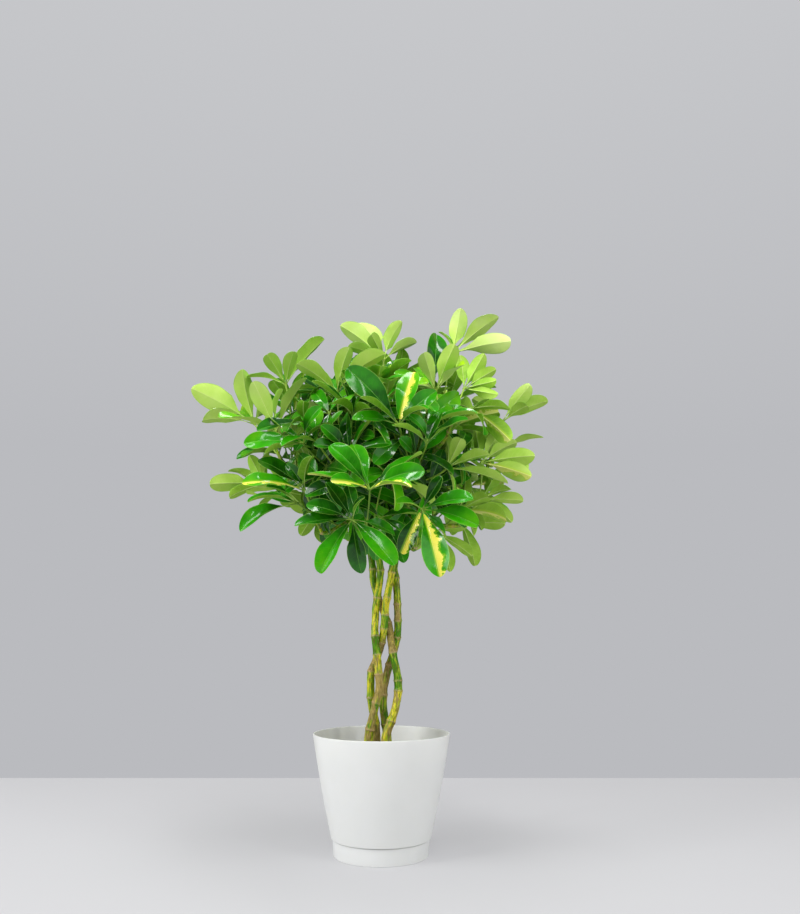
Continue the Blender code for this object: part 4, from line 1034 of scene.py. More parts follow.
def blade_test(one, blade):
    """A slightly swollen copy of the free part of a blade, for finding what it would touch."""
    rings, tip = blade_rings(one, blade, CLEAR)
    spot, side, upward = blade_frame(one, blade, TEST_FROM)
    wide = ((rings[0][2] - rings[0][0]).length / 2 - CLEAR + HUB_RADIUS / 2) / 2
    root = [spot - side * wide + upward * wide * FOLD, spot + upward * CLEAR,
            spot + side * wide + upward * wide * FOLD, spot - upward * CLEAR]
    points = [*root, *(point for ring in rings for point in ring), tip]
    faces = [(3, 2, 1, 0)]
    for band in range(len(rings)):
        low = band * 4
        for corner in range(4):
            beside = (corner + 1) % 4
            faces.append((low + corner, low + 4 + corner, low + 4 + beside, low + beside))
    last = len(rings) * 4
    faces += [(last + corner, len(points) - 1, last + (corner + 1) % 4) for corner in range(4)]
    return points, faces


def bvh(points, faces):
    """A tree of a mesh's faces, which finds what touches it."""
    return BVHTree.FromPolygons([tuple(point) for point in points], faces)


def hub_guard(one):
    """An eight-sided ball round a leaf's hub that other leaves keep clear of."""
    ways = [Vector(way) * GUARD_RADIUS for way in
            ((1, 0, 0), (0, 1, 0), (-1, 0, 0), (0, -1, 0), (0, 0, 1), (0, 0, -1))]
    faces = [(n, (n + 1) % 4, 4) for n in range(4)] + [((n + 1) % 4, n, 5) for n in range(4)]
    return [one["hub"] + way for way in ways], faces


def loose_blade(slot, attempt, rng):
    """A blade at its slot round the hub, drawn more freely at each attempt."""
    turn, cup, length = slot
    loose = attempt / TRIES

    def drawn(what):
        first, more = SPREAD[what]
        return rng.uniform(-1, 1) * (first + more * loose)

    cup = min(max(cup + drawn("cup"), CUP_RANGE[0]), CUP_RANGE[1])
    arch_angle = ARCH + drawn("arch")
    return {
        "turn": turn + drawn("turn"),
        "lift": math.radians(cup + arch_angle * ARCH_ABOVE),
        "arch": math.radians(arch_angle),
        "twist": drawn("twist"),
        "length": length * (1 + drawn("length") - SHORTENING * loose),
    }


def gap_turns(here, after):
    """The turns of the hub's corner points between one blade and the next: one, or more in a wide gap."""
    gap = (after - here) % math.tau or math.tau
    if gap < CORNER_GAP:
        return [here + gap / 2]
    first = here + CORNER_GAP / 2
    inner = gap - CORNER_GAP
    pieces = math.ceil(inner / CORNER_GAP)
    return [first + inner * n / pieces for n in range(pieces + 1)]


def leaf_skin(one):
    """A leaf with its stalk as one closed skin: neighbouring blades share the hub's corner points."""
    blades = sorted(one["leaflets"], key=lambda blade: blade["turn"] % math.tau)
    right, rise = face_plane(one["face"])
    points, faces = tube(one["stalk"], [STALK_RADIUS] * (STALK_STEPS + 1), STALK_SIDES, lid=False)
    collar = list(range(len(points) - STALK_SIDES, len(points)))
    top = len(points)
    points.append(one["hub"] + one["face"] * HUB_ABOVE)

    def turn_of(number):
        from_hub = points[number] - one["hub"]
        return math.atan2(from_hub.dot(rise), from_hub.dot(right))

    def nearest_collar(turn):
        return min(range(STALK_SIDES), key=lambda n: 1 - math.cos(turn - turn_of(collar[n])))

    # The loop runs round the underside: corner, left edge, keel, right edge, and so on
    loop = []
    corners = []
    for here, after in zip(blades, [*blades[1:], blades[0]]):
        turns = gap_turns(here["turn"], after["turn"])
        gap = (after["turn"] - here["turn"]) % math.tau or math.tau
        ring = []
        for turn in turns:
            share = (turn - here["turn"]) / gap
            lift = here["lift"] * (1 - share) + after["lift"] * share
            out = right * math.cos(turn) + rise * math.sin(turn)
            ring.append((len(points), turn))
            points.append(one["hub"] + (out * math.cos(lift) + one["face"] * math.sin(lift)) * HUB_RADIUS)
        corners.append(ring)
        faces += [(top, a[0], b[0]) for a, b in zip(ring, ring[1:])]
    for number, blade in enumerate(blades):
        left = corners[number - 1][-1][0]
        right_corner = corners[number][0][0]
        rings, tip = blade_rings(one, blade, 0.0)
        first = len(points)
        points += [point for ring in rings for point in ring]
        points.append(tip)
        faces += [
            (top, left, first), (top, first, first + 1),
            (top, first + 1, first + 2), (top, first + 2, right_corner),
        ]
        for band in range(len(rings) - 1):
            low = first + band * 4
            high = low + 4
            # The underside is split along the same diagonals as the top
            for corner in (0, 1):
                faces.append((low + corner, high + corner, low + corner + 1))
                faces.append((low + corner + 1, high + corner, high + corner + 1))
            for corner, beside in ((2, 3), (3, 0)):
                faces.append((low + corner, high + corner, high + beside))
                faces.append((low + corner, high + beside, low + beside))
        last = first + (len(rings) - 1) * 4
        faces += [(last + corner, len(points) - 1, last + (corner + 1) % 4) for corner in range(4)]
        loop += [(first, blade["turn"]), (first + 3, blade["turn"]), (first + 2, blade["turn"])]
        loop += corners[number]
    for (here, here_turn), (after, after_turn) in zip(loop, [*loop[1:], loop[0]]):
        at = nearest_collar(here_turn)
        goal = nearest_collar(after_turn)
        faces.append((collar[at], after, here))
        while at != goal:
            beside = (at + 1) % STALK_SIDES
            faces.append((collar[at], collar[beside], after))
            at = beside
    return points, faces


def crosses_itself(points, faces):
    """Whether a skin's faces touch each other where they have no point in common."""
    tree = bvh(points, faces)
    return any(not set(faces[a]) & set(faces[b]) for a, b in tree.overlap(tree))


def fit_leaflets(leaves, batch, solids, placed, rng):
    """Opens each blade from its hub, bending it clear of stalks, stems and every blade before it."""
    for number in batch:
        one = leaves[number]
        own_stalk = bvh(*tube(one["stalk"][:-1], [STALK_RADIUS * OWN_STALK_SWELL] * STALK_STEPS, STALK_SIDES))
        others = [tree for owner, tree in solids if owner != number] + [own_stalk]
        for slot_number, slot in enumerate(one["slots"]):
            for attempt in range(TRIES):
                blade = loose_blade(slot, attempt, rng)
                blade["slot"] = slot_number
                tree = bvh(*blade_test(one, blade))
                middle = blade_frame(one, blade, 0.5)[0]
                reach = LEAFLET_LENGTH * NEAR_BLADES
                near = [other for spot, other in placed if (spot - middle).length < reach]
                if any(tree.overlap(other) for other in near + others):
                    continue
                one["leaflets"].append(blade)
                if not crosses_itself(*leaf_skin(one)):
                    placed.append((middle, tree))
                    break
                one["leaflets"].pop()


def first_free(draw, solids, rng, sway):
    """The first draw of a bent piece that touches none of the solids, and whether there was one."""
    for attempt in range(BEND_TRIES):
        bend = Vector([rng.uniform(-1, 1) for _ in range(3)]) * (sway * attempt / BEND_TRIES)
        piece, tree = draw(bend)
        if not any(tree.overlap(other) for other in solids):
            return piece, tree, True
    return piece, tree, False


def settle(one, taken):
    """Draws a leaf in towards the crown's middle until its hub is clear; returns the guard, or None."""
    for _ in range(SETTLE_STEPS):
        guard = bvh(*hub_guard(one))
        if not any(guard.overlap(other) for other in taken):
            return guard
        one["hub"] += (CROWN_MIDDLE - one["hub"]).normalized() * SETTLE_STEP
    return None


def swollen_stalk(pulls):
    """A leaf stalk with the air that is kept round it."""
    return bvh(*tube(arch(*pulls, STALK_STEPS), [STALK_RADIUS + CLEAR / 2] * (STALK_STEPS + 1), STALK_SIDES))


def grow_stalks(shoot, batch, leaves, solids, placed, rng):
    """Gives each leaf of the batch on this shoot its stalk; a leaf whose stalk finds no free way has none."""
    way = (shoot["end"] - shoot["start"]).normalized()
    shoot["leaves"].sort(key=lambda number: stalk_foot(leaves[number]).dot(way))
    for rank, number in enumerate(shoot["leaves"]):
        if number not in batch:
            continue
        share = rank / max(1, len(shoot["leaves"]) - 1)
        foot_at = FIRST_LEAF_AT + (LAST_LEAF_AT - FIRST_LEAF_AT) * share

        def draw_stalk_path(bend):
            at = min(max(foot_at + bend.x * FOOT_SLIDE, FIRST_LEAF_AT), LAST_LEAF_AT)
            pulls = stalk_pulls(leaves[number], along(shoot["path"], at), bend)
            return pulls, swollen_stalk(pulls)
        others = [other for owner, other in solids if other is not shoot["tree"] and owner != number]
        others += [other for _, other in placed]
        pulls, tree, free = first_free(draw_stalk_path, others, rng, STALK_SWAY)
        if free:
            leaves[number]["stalk_pulls"] = pulls
            leaves[number]["stalk"] = arch(*pulls, STALK_STEPS)
            solids.append((number, tree))


def grow_batch(batch, leaves, shoots, solids, placed, rng):
    """Gives the leaves of a batch their stalks, and then those that have one their leaflets."""
    for shoot in shoots:
        grow_stalks(shoot, batch, leaves, solids, placed, rng)
    stalked = [number for number in batch if leaves[number].get("stalk")]
    fit_leaflets(leaves, stalked, solids, placed, rng)


def grow_crown():
    """Works out every leaf, shoot, stalk and blade of the frame's crown."""
    rng = random.Random(CROWN_SEED)
    stems = {name: stem_path(name, PLAIN_STEM_RINGS) for name in STEM_PATHS}
    leaves = crown_leaves(rng)
    shoots = crown_shoots(leaves, stems)
    solids = [(None, bvh(*stem_guard(name))) for name in STEM_PATHS]
    for shoot in shoots:
        def draw_shoot(bend):
            path = shoot_path(shoot, bend)
            return path, bvh(*tube(path[1:], [SHOOT_RADIUS + CLEAR] * SHOOT_STEPS, SHOOT_SIDES))
        path, _, _ = first_free(draw_shoot, [other for _, other in solids], rng, SHOOT_SWAY)
        whole = bvh(*tube(path, [SHOOT_RADIUS + CLEAR] * len(path), SHOOT_SIDES))
        shoot.update(path=path, tree=whole)
        solids.append((None, whole))
    # The listed leaves grow whole before the rest find their room between them
    by_eye = range(len(FRONT_LEAVES))
    solids += [(number, bvh(*hub_guard(leaves[number]))) for number in by_eye]
    placed = []
    grow_batch(by_eye, leaves, shoots, solids, placed, rng)
    others = [other for _, other in solids + placed]
    rest = []
    for number in range(len(FRONT_LEAVES), len(leaves)):
        guard = settle(leaves[number], others)
        if guard:
            rest.append(number)
            others.append(guard)
            solids.append((number, guard))
    grow_batch(rest, leaves, shoots, solids, placed, rng)
    for shoot in shoots:
        shoot["leaves"] = [number for number in shoot["leaves"] if leaves[number]["leaflets"]]
    return leaves, shoots, solids, placed


# Inner leaves: smaller ones deep in the crown, which close the view of the stems
INNER_SEED = 41
INNER_LEAVES = 96
INNER_BLADES = 5
INNER_SPACING = 0.027
INNER_LENGTHS = (0.050, 0.068)
INNER_CUPS = (-20, 35)
# Shares of the crown's reach: where most of them stand, and where the share nearest the viewer does
DEEP_SHELL = (0.18, 0.66)
NEAR_SHELL = (0.58, 0.88)
NEAR_SHARE = 0.55
# They face outwards, but more upwards and towards the light in front
LIGHT_PULL = Vector((0.0, -0.3, 0.7))


def grow_inner_leaves(leaves, shoots, solids, placed):
    """Adds the inner leaves, each on a stalk from its nearest twig."""
    rng = random.Random(INNER_SEED)
    while len(leaves) < first_inner + INNER_LEAVES:
        out = Vector([rng.gauss(0, 1) for _ in range(3)]).normalized()
        near = rng.random() < NEAR_SHARE
        if near:
            out.y = -abs(out.y)
        depth = rng.uniform(*(NEAR_SHELL if near else DEEP_SHELL))
        hub = CROWN_MIDDLE + Vector(a * b for a, b in zip(out, CROWN_REACH)) * depth
        if any((hub - other["hub"]).length < INNER_SPACING for other in leaves):
            continue
        length = rng.uniform(*INNER_LENGTHS)
        cup = rng.uniform(*INNER_CUPS)
        face = (out + LIGHT_PULL).normalized()
        one = even_leaf(hub, face, cup, INNER_BLADES, length, rng.uniform(0, math.tau))
        shoot = min(shoots, key=lambda s: min((point - stalk_foot(one)).length for point in s["path"]))
        foot = min(shoot["path"][1:], key=lambda point: (point - stalk_foot(one)).length)
        number = len(leaves)

        def draw_stalk_path(bend):
            pulls = stalk_pulls(one, foot, bend)
            return pulls, swollen_stalk(pulls)
        others = [other for _, other in solids if other is not shoot["tree"]]
        one["stalk_pulls"], tree, _ = first_free(draw_stalk_path, others, rng, STALK_SWAY)
        one["stalk"] = arch(*one["stalk_pulls"], STALK_STEPS)
        leaves.append(one)
        shoot["leaves"].append(number)
        solids.append((number, tree))
        fit_leaflets(leaves, [number], solids, placed, rng)


leaves, shoots, solids, placed = grow_crown()
first_inner = len(leaves)
grow_inner_leaves(leaves, shoots, solids, placed)

# Looks: a leaf's tone runs from 0, mature and dark, to 1, young and pale
LOOK_SEED = 5
DRAWN_TONES = (0.0, 0.05, 0.1, 0.2, 0.35, 0.6)
INNER_SHADE_SHARE = 0.7      # the inner leaves are darker by this: painted shade deep in the crown
FRONT_TONE = 0.2
# For the listed leaves, counted from 0: the tones of those that don't have that one
LEAF_TONES = {
    4: 0.7, 5: 0.7, 6: 0.65, 7: 0.7, 8: 0.55, 9: 0.6, 10: 0.75, 14: 0.45, 15: 0.65, 16: 0.5, 17: 0.5,
    18: 0.45, 19: 0.4, 20: 0.4, 21: 0.45, 22: 0.45, 23: 0.35, 24: 0.4, 25: 0.15, 26: 0.35, 27: 0.2,
    28: 0.15, 29: 0.5, 30: 0.75, 31: 0.4,
}
# And for their leaflets, counted from 0: a cream band, or a tone of its own
LOOKS = {
    1: {0: "cream", 3: "cream", 4: "cream"},
    2: {4: "cream", 5: "cream"},
    3: {3: "cream", 0: 0.05},
    5: {0: 0.0},
    12: {0: "cream"},
    17: {1: "cream"},
    19: {1: "cream"},
    23: {0: "cream"},
}
CREAM_SHARE = 0.10          # of the leaflets that the rule placed
CREAM_WIDTHS = (0.55, 1.0)
TONE_SPREAD = (-0.24, 0.16)
FOLDS = (0.8, 1.7)          # how strongly a blade is folded along its midrib
BULGES = (-0.7, 0.5)        # above 0 each half bulges up between midrib and edge, below 0 the edges curl up
TWIST = 17.0                # how far blades twist, in degrees, and the most that one does
MOST_TWIST = 38.0
CURLS = (-0.001, 0.009)     # how far a blade's tip curls down
WAVES = (0.0004, 0.0013)    # how far its edges wave
LATENESS = (0.86, 1.08)     # where its widest place is
BLUNTNESS = (0.44, 0.60)    # and how round its tip


def leaflet_look(one, blade, rng):
    """Gives a leaflet its tone, its cream band and its own small turns of shape."""
    named = LOOKS.get(one["number"], {}).get(blade["slot"])
    blade["tone"] = min(1.0, max(0.0, one["tone"] + rng.uniform(*TONE_SPREAD)))
    blade["cream"] = 0.0
    by_rule = len(FRONT_LEAVES) <= one["number"] < first_inner
    if named == "cream" or (by_rule and rng.random() < CREAM_SHARE):
        blade["cream"] = rng.uniform(*CREAM_WIDTHS)
    elif named is not None:
        blade["tone"] = named
    blade["cream_side"] = rng.choice((-1.0, 1.0))
    blade["seed"] = rng.random()
    blade["fold"] = rng.uniform(*FOLDS)
    blade["bulge"] = rng.uniform(*BULGES)
    blade["twist"] = math.radians(min(MOST_TWIST, max(-MOST_TWIST, rng.gauss(0.0, TWIST))))
    blade["curl"] = rng.uniform(*CURLS)
    blade["wave"] = rng.uniform(*WAVES)
    blade["wave_start"] = rng.uniform(0, math.tau)
    blade["late"] = rng.uniform(*LATENESS)
    blade["blunt"] = rng.uniform(*BLUNTNESS)


look_rng = random.Random(LOOK_SEED)
for number, one in enumerate(leaves):
    one["number"] = number
    one["seed"] = look_rng.random()
    one["tone"] = look_rng.choice(DRAWN_TONES)
    # The inner leaves' darker tones are painted shade
    if number >= first_inner:
        one["tone"] *= INNER_SHADE_SHARE
    elif number < len(FRONT_LEAVES):
        one["tone"] = LEAF_TONES.get(number, FRONT_TONE)
    for blade in one["leaflets"]:
        leaflet_look(one, blade, look_rng)

# Twigs and leaf stalks: side twigs with the same bark as the stems, ringed by close leaf scars and ending in
# a bud. Each carries a few leaves on slim green stalks of 40 to 60 mm, which have a sheath at the foot and a
# knob at the top where the leaflets meet.

SHOOT_TIP_RADIUS = 0.0018
TWIG_RINGS = 44
TWIG_SIDES = 12
TWIG_GROWTH = 1.08          # a twig's foot is a little fuller than the frame's
TWIG_SINK = 0.0022          # how deep a twig's foot stands in its stem
TWIG_SCARS = 0.0085         # spacing of the scars on a twig
TWIG_YELLOW = 0.2           # how yellow a twig is, and how much that changes along it
YELLOW_CHANGE = 0.2
YELLOW_RUN = 0.011
FOOT_CORK = 0.26            # how far cork covers its foot, and how much less of it there is at its tip
CORK_LESS = 0.24
BUD_LENGTH = 0.010
BUD_PLACES = (0.3, 0.6, 0.85, 1.0)
BUD_ROUNDNESS = 0.6
BUD_POINT = 0.0003
TWIG_PATTERN = 5000.0       # keeps the twigs' patterns apart from the stems' and from each other
TWIG_SPACING = 100.0
FINE_STALK_RINGS = 14
FINE_STALK_SIDES = 8
STALK_PATTERN = (50.0, 0.8)  # millimetres of pattern along a stalk, and from side to side of its ring
STALK_YELLOW = (0.3, 0.5)   # how yellow a mature leaf's stalk is, and how much more so a young one's
SEED_SPACING = 100.0        # keeps the patterns of stalks and blades apart from each other
# A leaf stalk's thickness along its length, then its knob: distance past its end and radius
STALK_TAPER = ((0.0, 0.0017), (0.10, 0.0011), (0.5, 0.0009), (1.0, 0.00115))
KNOB = ((0.0006, 0.0018), (0.0013, 0.0022), (0.0021, 0.0021), (0.0028, 0.0015), (0.0031, 0.0006))


def tapered(rows, share):
    """The value at a share of the way along rows of (share, value)."""
    for (here, low), (after, high) in zip(rows, rows[1:]):
        if share <= after:
            return low + (high - low) * (share - here) / (after - here)
    return rows[-1][1]


def draw_twig(skin, shoot, number):
    """A twig from inside its stem to a pointed bud past its last leaf."""
    path = smooth_path(shoot["path"], TWIG_RINGS)
    path.insert(0, path[0] - shoot["out"] * TWIG_SINK)
    length = running_lengths(path)[-1]
    onward = (path[-1] - path[-2]).normalized()
    bud = [path[-1] + onward * BUD_LENGTH * share for share in BUD_PLACES]
    rings = TWIG_RINGS + 1 + len(BUD_PLACES)

    def radius_at(share):
        body = SHOOT_RADIUS * TWIG_GROWTH + (SHOOT_TIP_RADIUS - SHOOT_RADIUS) * share
        tip = min(1.0, max(0.0, (share * rings - TWIG_RINGS) / (rings - TWIG_RINGS)))
        return body * (1 - tip) ** BUD_ROUNDNESS + BUD_POINT

    def tone_at(at):
        yellow = TWIG_YELLOW + YELLOW_CHANGE * math.sin(at / YELLOW_RUN + number)
        return yellow, FOOT_CORK - CORK_LESS * min(1.0, at / length)
    scars = [TWIG_SCARS * n for n in range(1, int(length / TWIG_SCARS) + 1)]
    start_mm = TWIG_PATTERN + number * TWIG_SPACING
    scarred_tube(skin, path + bud, radius_at, TWIG_SIDES, scars, tone_at, start_mm)


def draw_stalk(skin, one):
    """A leaf stalk with the sheath at its foot and the knob that the leaflets grow from."""
    path = arch(*one["stalk_pulls"], FINE_STALK_RINGS)
    radii = [tapered(STALK_TAPER, n / FINE_STALK_RINGS) for n in range(FINE_STALK_RINGS + 1)]
    for distance, radius in KNOB:
        path.append(path[FINE_STALK_RINGS] + one["face"] * distance)
        radii.append(radius)
    points, faces = tube(path, radii, FINE_STALK_SIDES)
    yellow = STALK_YELLOW[0] + STALK_YELLOW[1] * one["tone"]
    places = []
    finishes = []
    for ring in range(len(path)):
        share = ring / len(path)
        for side in range(FINE_STALK_SIDES):
            places.append((share * STALK_PATTERN[0], side * STALK_PATTERN[1], one["seed"] * SEED_SPACING))
            finishes.append((yellow, 0.0, share))
    skin.join(points, faces, 1, places, finishes)


def leaf_stalk_skin():
    """Leaf stalk: smooth living green skin, paler and yellower than the blades, with a low wax gloss."""
    material, tree, shader = new_material("schefflera_leaf_stalk")
    place = add(tree, "ShaderNodeAttribute", attribute_name="place").outputs["Vector"]
    finish = add(tree, "ShaderNodeAttribute", attribute_name="finish").outputs["Vector"]
    yellow, _, share = add(tree, "ShaderNodeSeparateXYZ", {0: finish}).outputs
    # Flushes of yellow some 14 mm long
    flush = add(tree, "ShaderNodeTexNoise", {"Vector": place, "Scale": 1 / 14.29, "Detail": 2.0})
    flushed = add(tree, "ShaderNodeMapRange", {
        "Value": flush, "From Min": 0.3, "From Max": 0.7, "To Min": -0.3, "To Max": 0.3})
    tone = add(tree, "ShaderNodeMath", {0: yellow, 1: flushed}, operation="ADD", use_clamp=True)
    skin = add(tree, "ShaderNodeMix", {0: tone, 6: linear("#3C7A12"), 7: linear("#A9C848")}, data_type="RGBA")
    # The sheath at the foot is browner
    foot = add(tree, "ShaderNodeMapRange", {"Value": share, "From Min": 0.10, "From Max": 0.0, "To Max": 0.7})
    sheathed = add(tree, "ShaderNodeMix", {0: foot, 6: skin, 7: linear("#8B7A3C")}, data_type="RGBA")
    feed(tree, shader, {"Base Color": sheathed, "Roughness": 0.42, "IOR": 1.43})
    return material


stalk_skin = leaf_stalk_skin()
shoot_nodes = [f"leafy_shoot_{number + 1:02d}" for number in range(len(shoots))]
for number, shoot in enumerate(shoots):
    twig_skin = Skin()
    draw_twig(twig_skin, shoot, number)
    for owner in shoot["leaves"]:
        draw_stalk(twig_skin, leaves[owner])
    twig_name = shoot_nodes[number] + "_twig"
    put(twig_name, twig_skin.mesh(twig_name), [bark, stalk_skin], [shoot_nodes[number]])

# Leaflets: leathery blades, most of them 50 to 80 mm long and half a millimetre thick, on short stalks of
# their own, widest past the middle and folded along the midrib. They are waxed dark green above with a pale
# edge, matt lime below, and some have a cream band along the midrib.

# Shares of a blade's length, and of its half-width, where its mesh has a row or column of points
ROWS = (0.095, 0.13, 0.18, 0.24, 0.31, 0.39, 0.47, 0.55, 0.63, 0.70, 0.77, 0.83, 0.885, 0.93, 0.965, 0.988)
COLUMNS = (-1.0, -0.93, -0.72, -0.45, -0.18, -0.05, 0.0, 0.05, 0.18, 0.45, 0.72, 0.93, 1.0)
FINE_WIDTH = 1.04           # the blades are a little fuller than the plain ones of the frame
CROWDED_UP_TO = 0.22        # share of a blade's length past its first station where it reaches its full width
WEDGE_SHARE = 0.22          # and from its root, over which it widens out of its stalk
EDGE_THICKNESS = 0.00030
MIDDLE_THICKNESS = 0.00055
GROOVE_DEPTH = 0.00022      # the midrib's groove above
RIB_DEPTH = 0.00065         # and its rib below
RIB_SHARE = 0.06
RIB_ROOT = 1.15             # the rib thins out towards the tip from this share of its depth at the root
WAVE_LENGTH = 0.030
LEAFLET_STALK_RADIUS = 0.00085
LEAFLET_STALK_SIDES = 6
LEAFLET_STALK_DROP = 0.0001
LEAFLET_STALK_YELLOW = (0.35, 0.5)
# Along a leaflet's stalk: the share of the blade's length, and of the stalk's thickness
LEAFLET_STALK = ((0.02, 1.25), (0.05, 1.0), (0.08, 0.95), (0.11, 0.9), (0.15, 0.4))


def blade_width(one, blade, s):
    """Half-width of a blade, held in near the hub where its neighbours crowd it."""
    half = blade["length"] * LEAFLET_WIDTH_SHARE / 2 * FINE_WIDTH
    held = min(1.0, root_room(one, blade) / (half * blade_share(STATIONS[0])))
    free = min(1.0, max(0.0, (s - STATIONS[0]) / CROWDED_UP_TO))
    shape = math.sin(math.pi * s ** (WIDEST_LATE * blade["late"])) ** blade["blunt"]
    wedge = min(1.0, (s / WEDGE_SHARE) ** 0.5)
    return half * shape * wedge * (held + (1 - held) * free)


def twisted_frame(one, blade, s):
    """The blade's middle, side way and upward way at a share of its length, with its own curl and twist."""
    middle, side, upward = blade_frame(one, blade, s)
    curled = max(0.0, (s - STATIONS[0]) / (1 - STATIONS[0]))
    turn = blade["twist"] * curled
    middle = middle - upward * blade["curl"] * curled ** 2
    turned_side = side * math.cos(turn) + upward * math.sin(turn)
    return middle, turned_side, upward * math.cos(turn) - side * math.sin(turn)


def leaflet_faces():
    """The faces of any leaflet's top with its edges, and of its underside; its tip is the last point."""
    columns = len(COLUMNS)
    sheet = columns * len(ROWS)
    tip = 2 * sheet
    top = []
    under = []
    for row in range(len(ROWS) - 1):
        left = row * columns
        right = left + columns - 1
        for a in range(left, right):
            top.append((a, a + 1, a + columns + 1, a + columns))
            under.append((a + sheet, a + sheet + columns, a + sheet + columns + 1, a + sheet + 1))
        top.append((left, left + columns, left + columns + sheet, left + sheet))
        top.append((right + sheet, right + columns + sheet, right + columns, right))
    last = (len(ROWS) - 1) * columns
    for column in range(columns - 1):
        top.append((last + column, last + column + 1, tip))
        under.append((last + sheet + column + 1, last + sheet + column, tip))
        under.append((column + 1, column, sheet + column, sheet + column + 1))
    top.append((last, tip, last + sheet))
    top.append((last + columns - 1, last + sheet + columns - 1, tip))
    return top, under


TOP_FACES, UNDER_FACES = leaflet_faces()


def blade_lift(blade, s, u, wide):
    """How far a blade's middle layer stands above its midrib at a share s along and u across."""
    across = abs(u)
    folded = wide * FOLD * blade["fold"] * ((1 + blade["bulge"]) * across - blade["bulge"] * across * across)
    wave = math.sin(math.tau * s * blade["length"] / WAVE_LENGTH + blade["wave_start"]) * blade["wave"]
    return folded + wave * u * across * math.sin(math.pi * s)


def skin_lift(s, u, below):
    """How far the top or the underside lies from the middle layer, with the midrib's groove and rib."""
    thick = (EDGE_THICKNESS + (MIDDLE_THICKNESS - EDGE_THICKNESS) * (1 - abs(u))) / 2
    ridge = math.exp(-(u / RIB_SHARE) ** 2)
    if below:
        return -thick - RIB_DEPTH * ridge * (RIB_ROOT - s)
    return thick - GROOVE_DEPTH * ridge


def draw_leaflet(skin, one, blade):
    """One leaflet as a thin closed blade, upper skin and underside, on its own short stalk."""
    places = []
    margins = []
    points = []
    length_mm = blade["length"] / MM
    seed_mm = blade["seed"] * SEED_SPACING
    for below in (False, True):
        for s in ROWS:
            middle, side, upward = twisted_frame(one, blade, s)
            wide = blade_width(one, blade, s)
            for u in COLUMNS:
                lift = blade_lift(blade, s, u, wide) + skin_lift(s, u, below)
                points.append(middle + side * wide * u + upward * lift)
                places.append((u * wide / MM, s * length_mm, seed_mm + SEED_SPACING / 2 * below))
                margins.append(abs(u))
    points.append(twisted_frame(one, blade, 1.0)[0])
    places.append((0.0, length_mm, seed_mm))
    margins.append(1.0)
    finishes = [(blade["tone"], blade["cream"], blade["cream_side"])] * len(points)
    skin.join(points, TOP_FACES + UNDER_FACES, 0, places, finishes, margins)
    skin.face_materials[-len(UNDER_FACES):] = [1] * len(UNDER_FACES)
    stalk_path = []
    for s, _ in LEAFLET_STALK:
        middle, _, upward = blade_frame(one, blade, s)
        stalk_path.append(middle - upward * (MIDDLE_THICKNESS / 2 + LEAFLET_STALK_DROP))
    radii = [LEAFLET_STALK_RADIUS * share for _, share in LEAFLET_STALK]
    points, faces = tube(stalk_path, radii, LEAFLET_STALK_SIDES)
    yellow = LEAFLET_STALK_YELLOW[0] + LEAFLET_STALK_YELLOW[1] * blade["tone"]
    skin.join(points, faces, 2, [(0.0, 0.0, seed_mm)] * len(points), [(yellow, 0.0, 0.5)] * len(points))


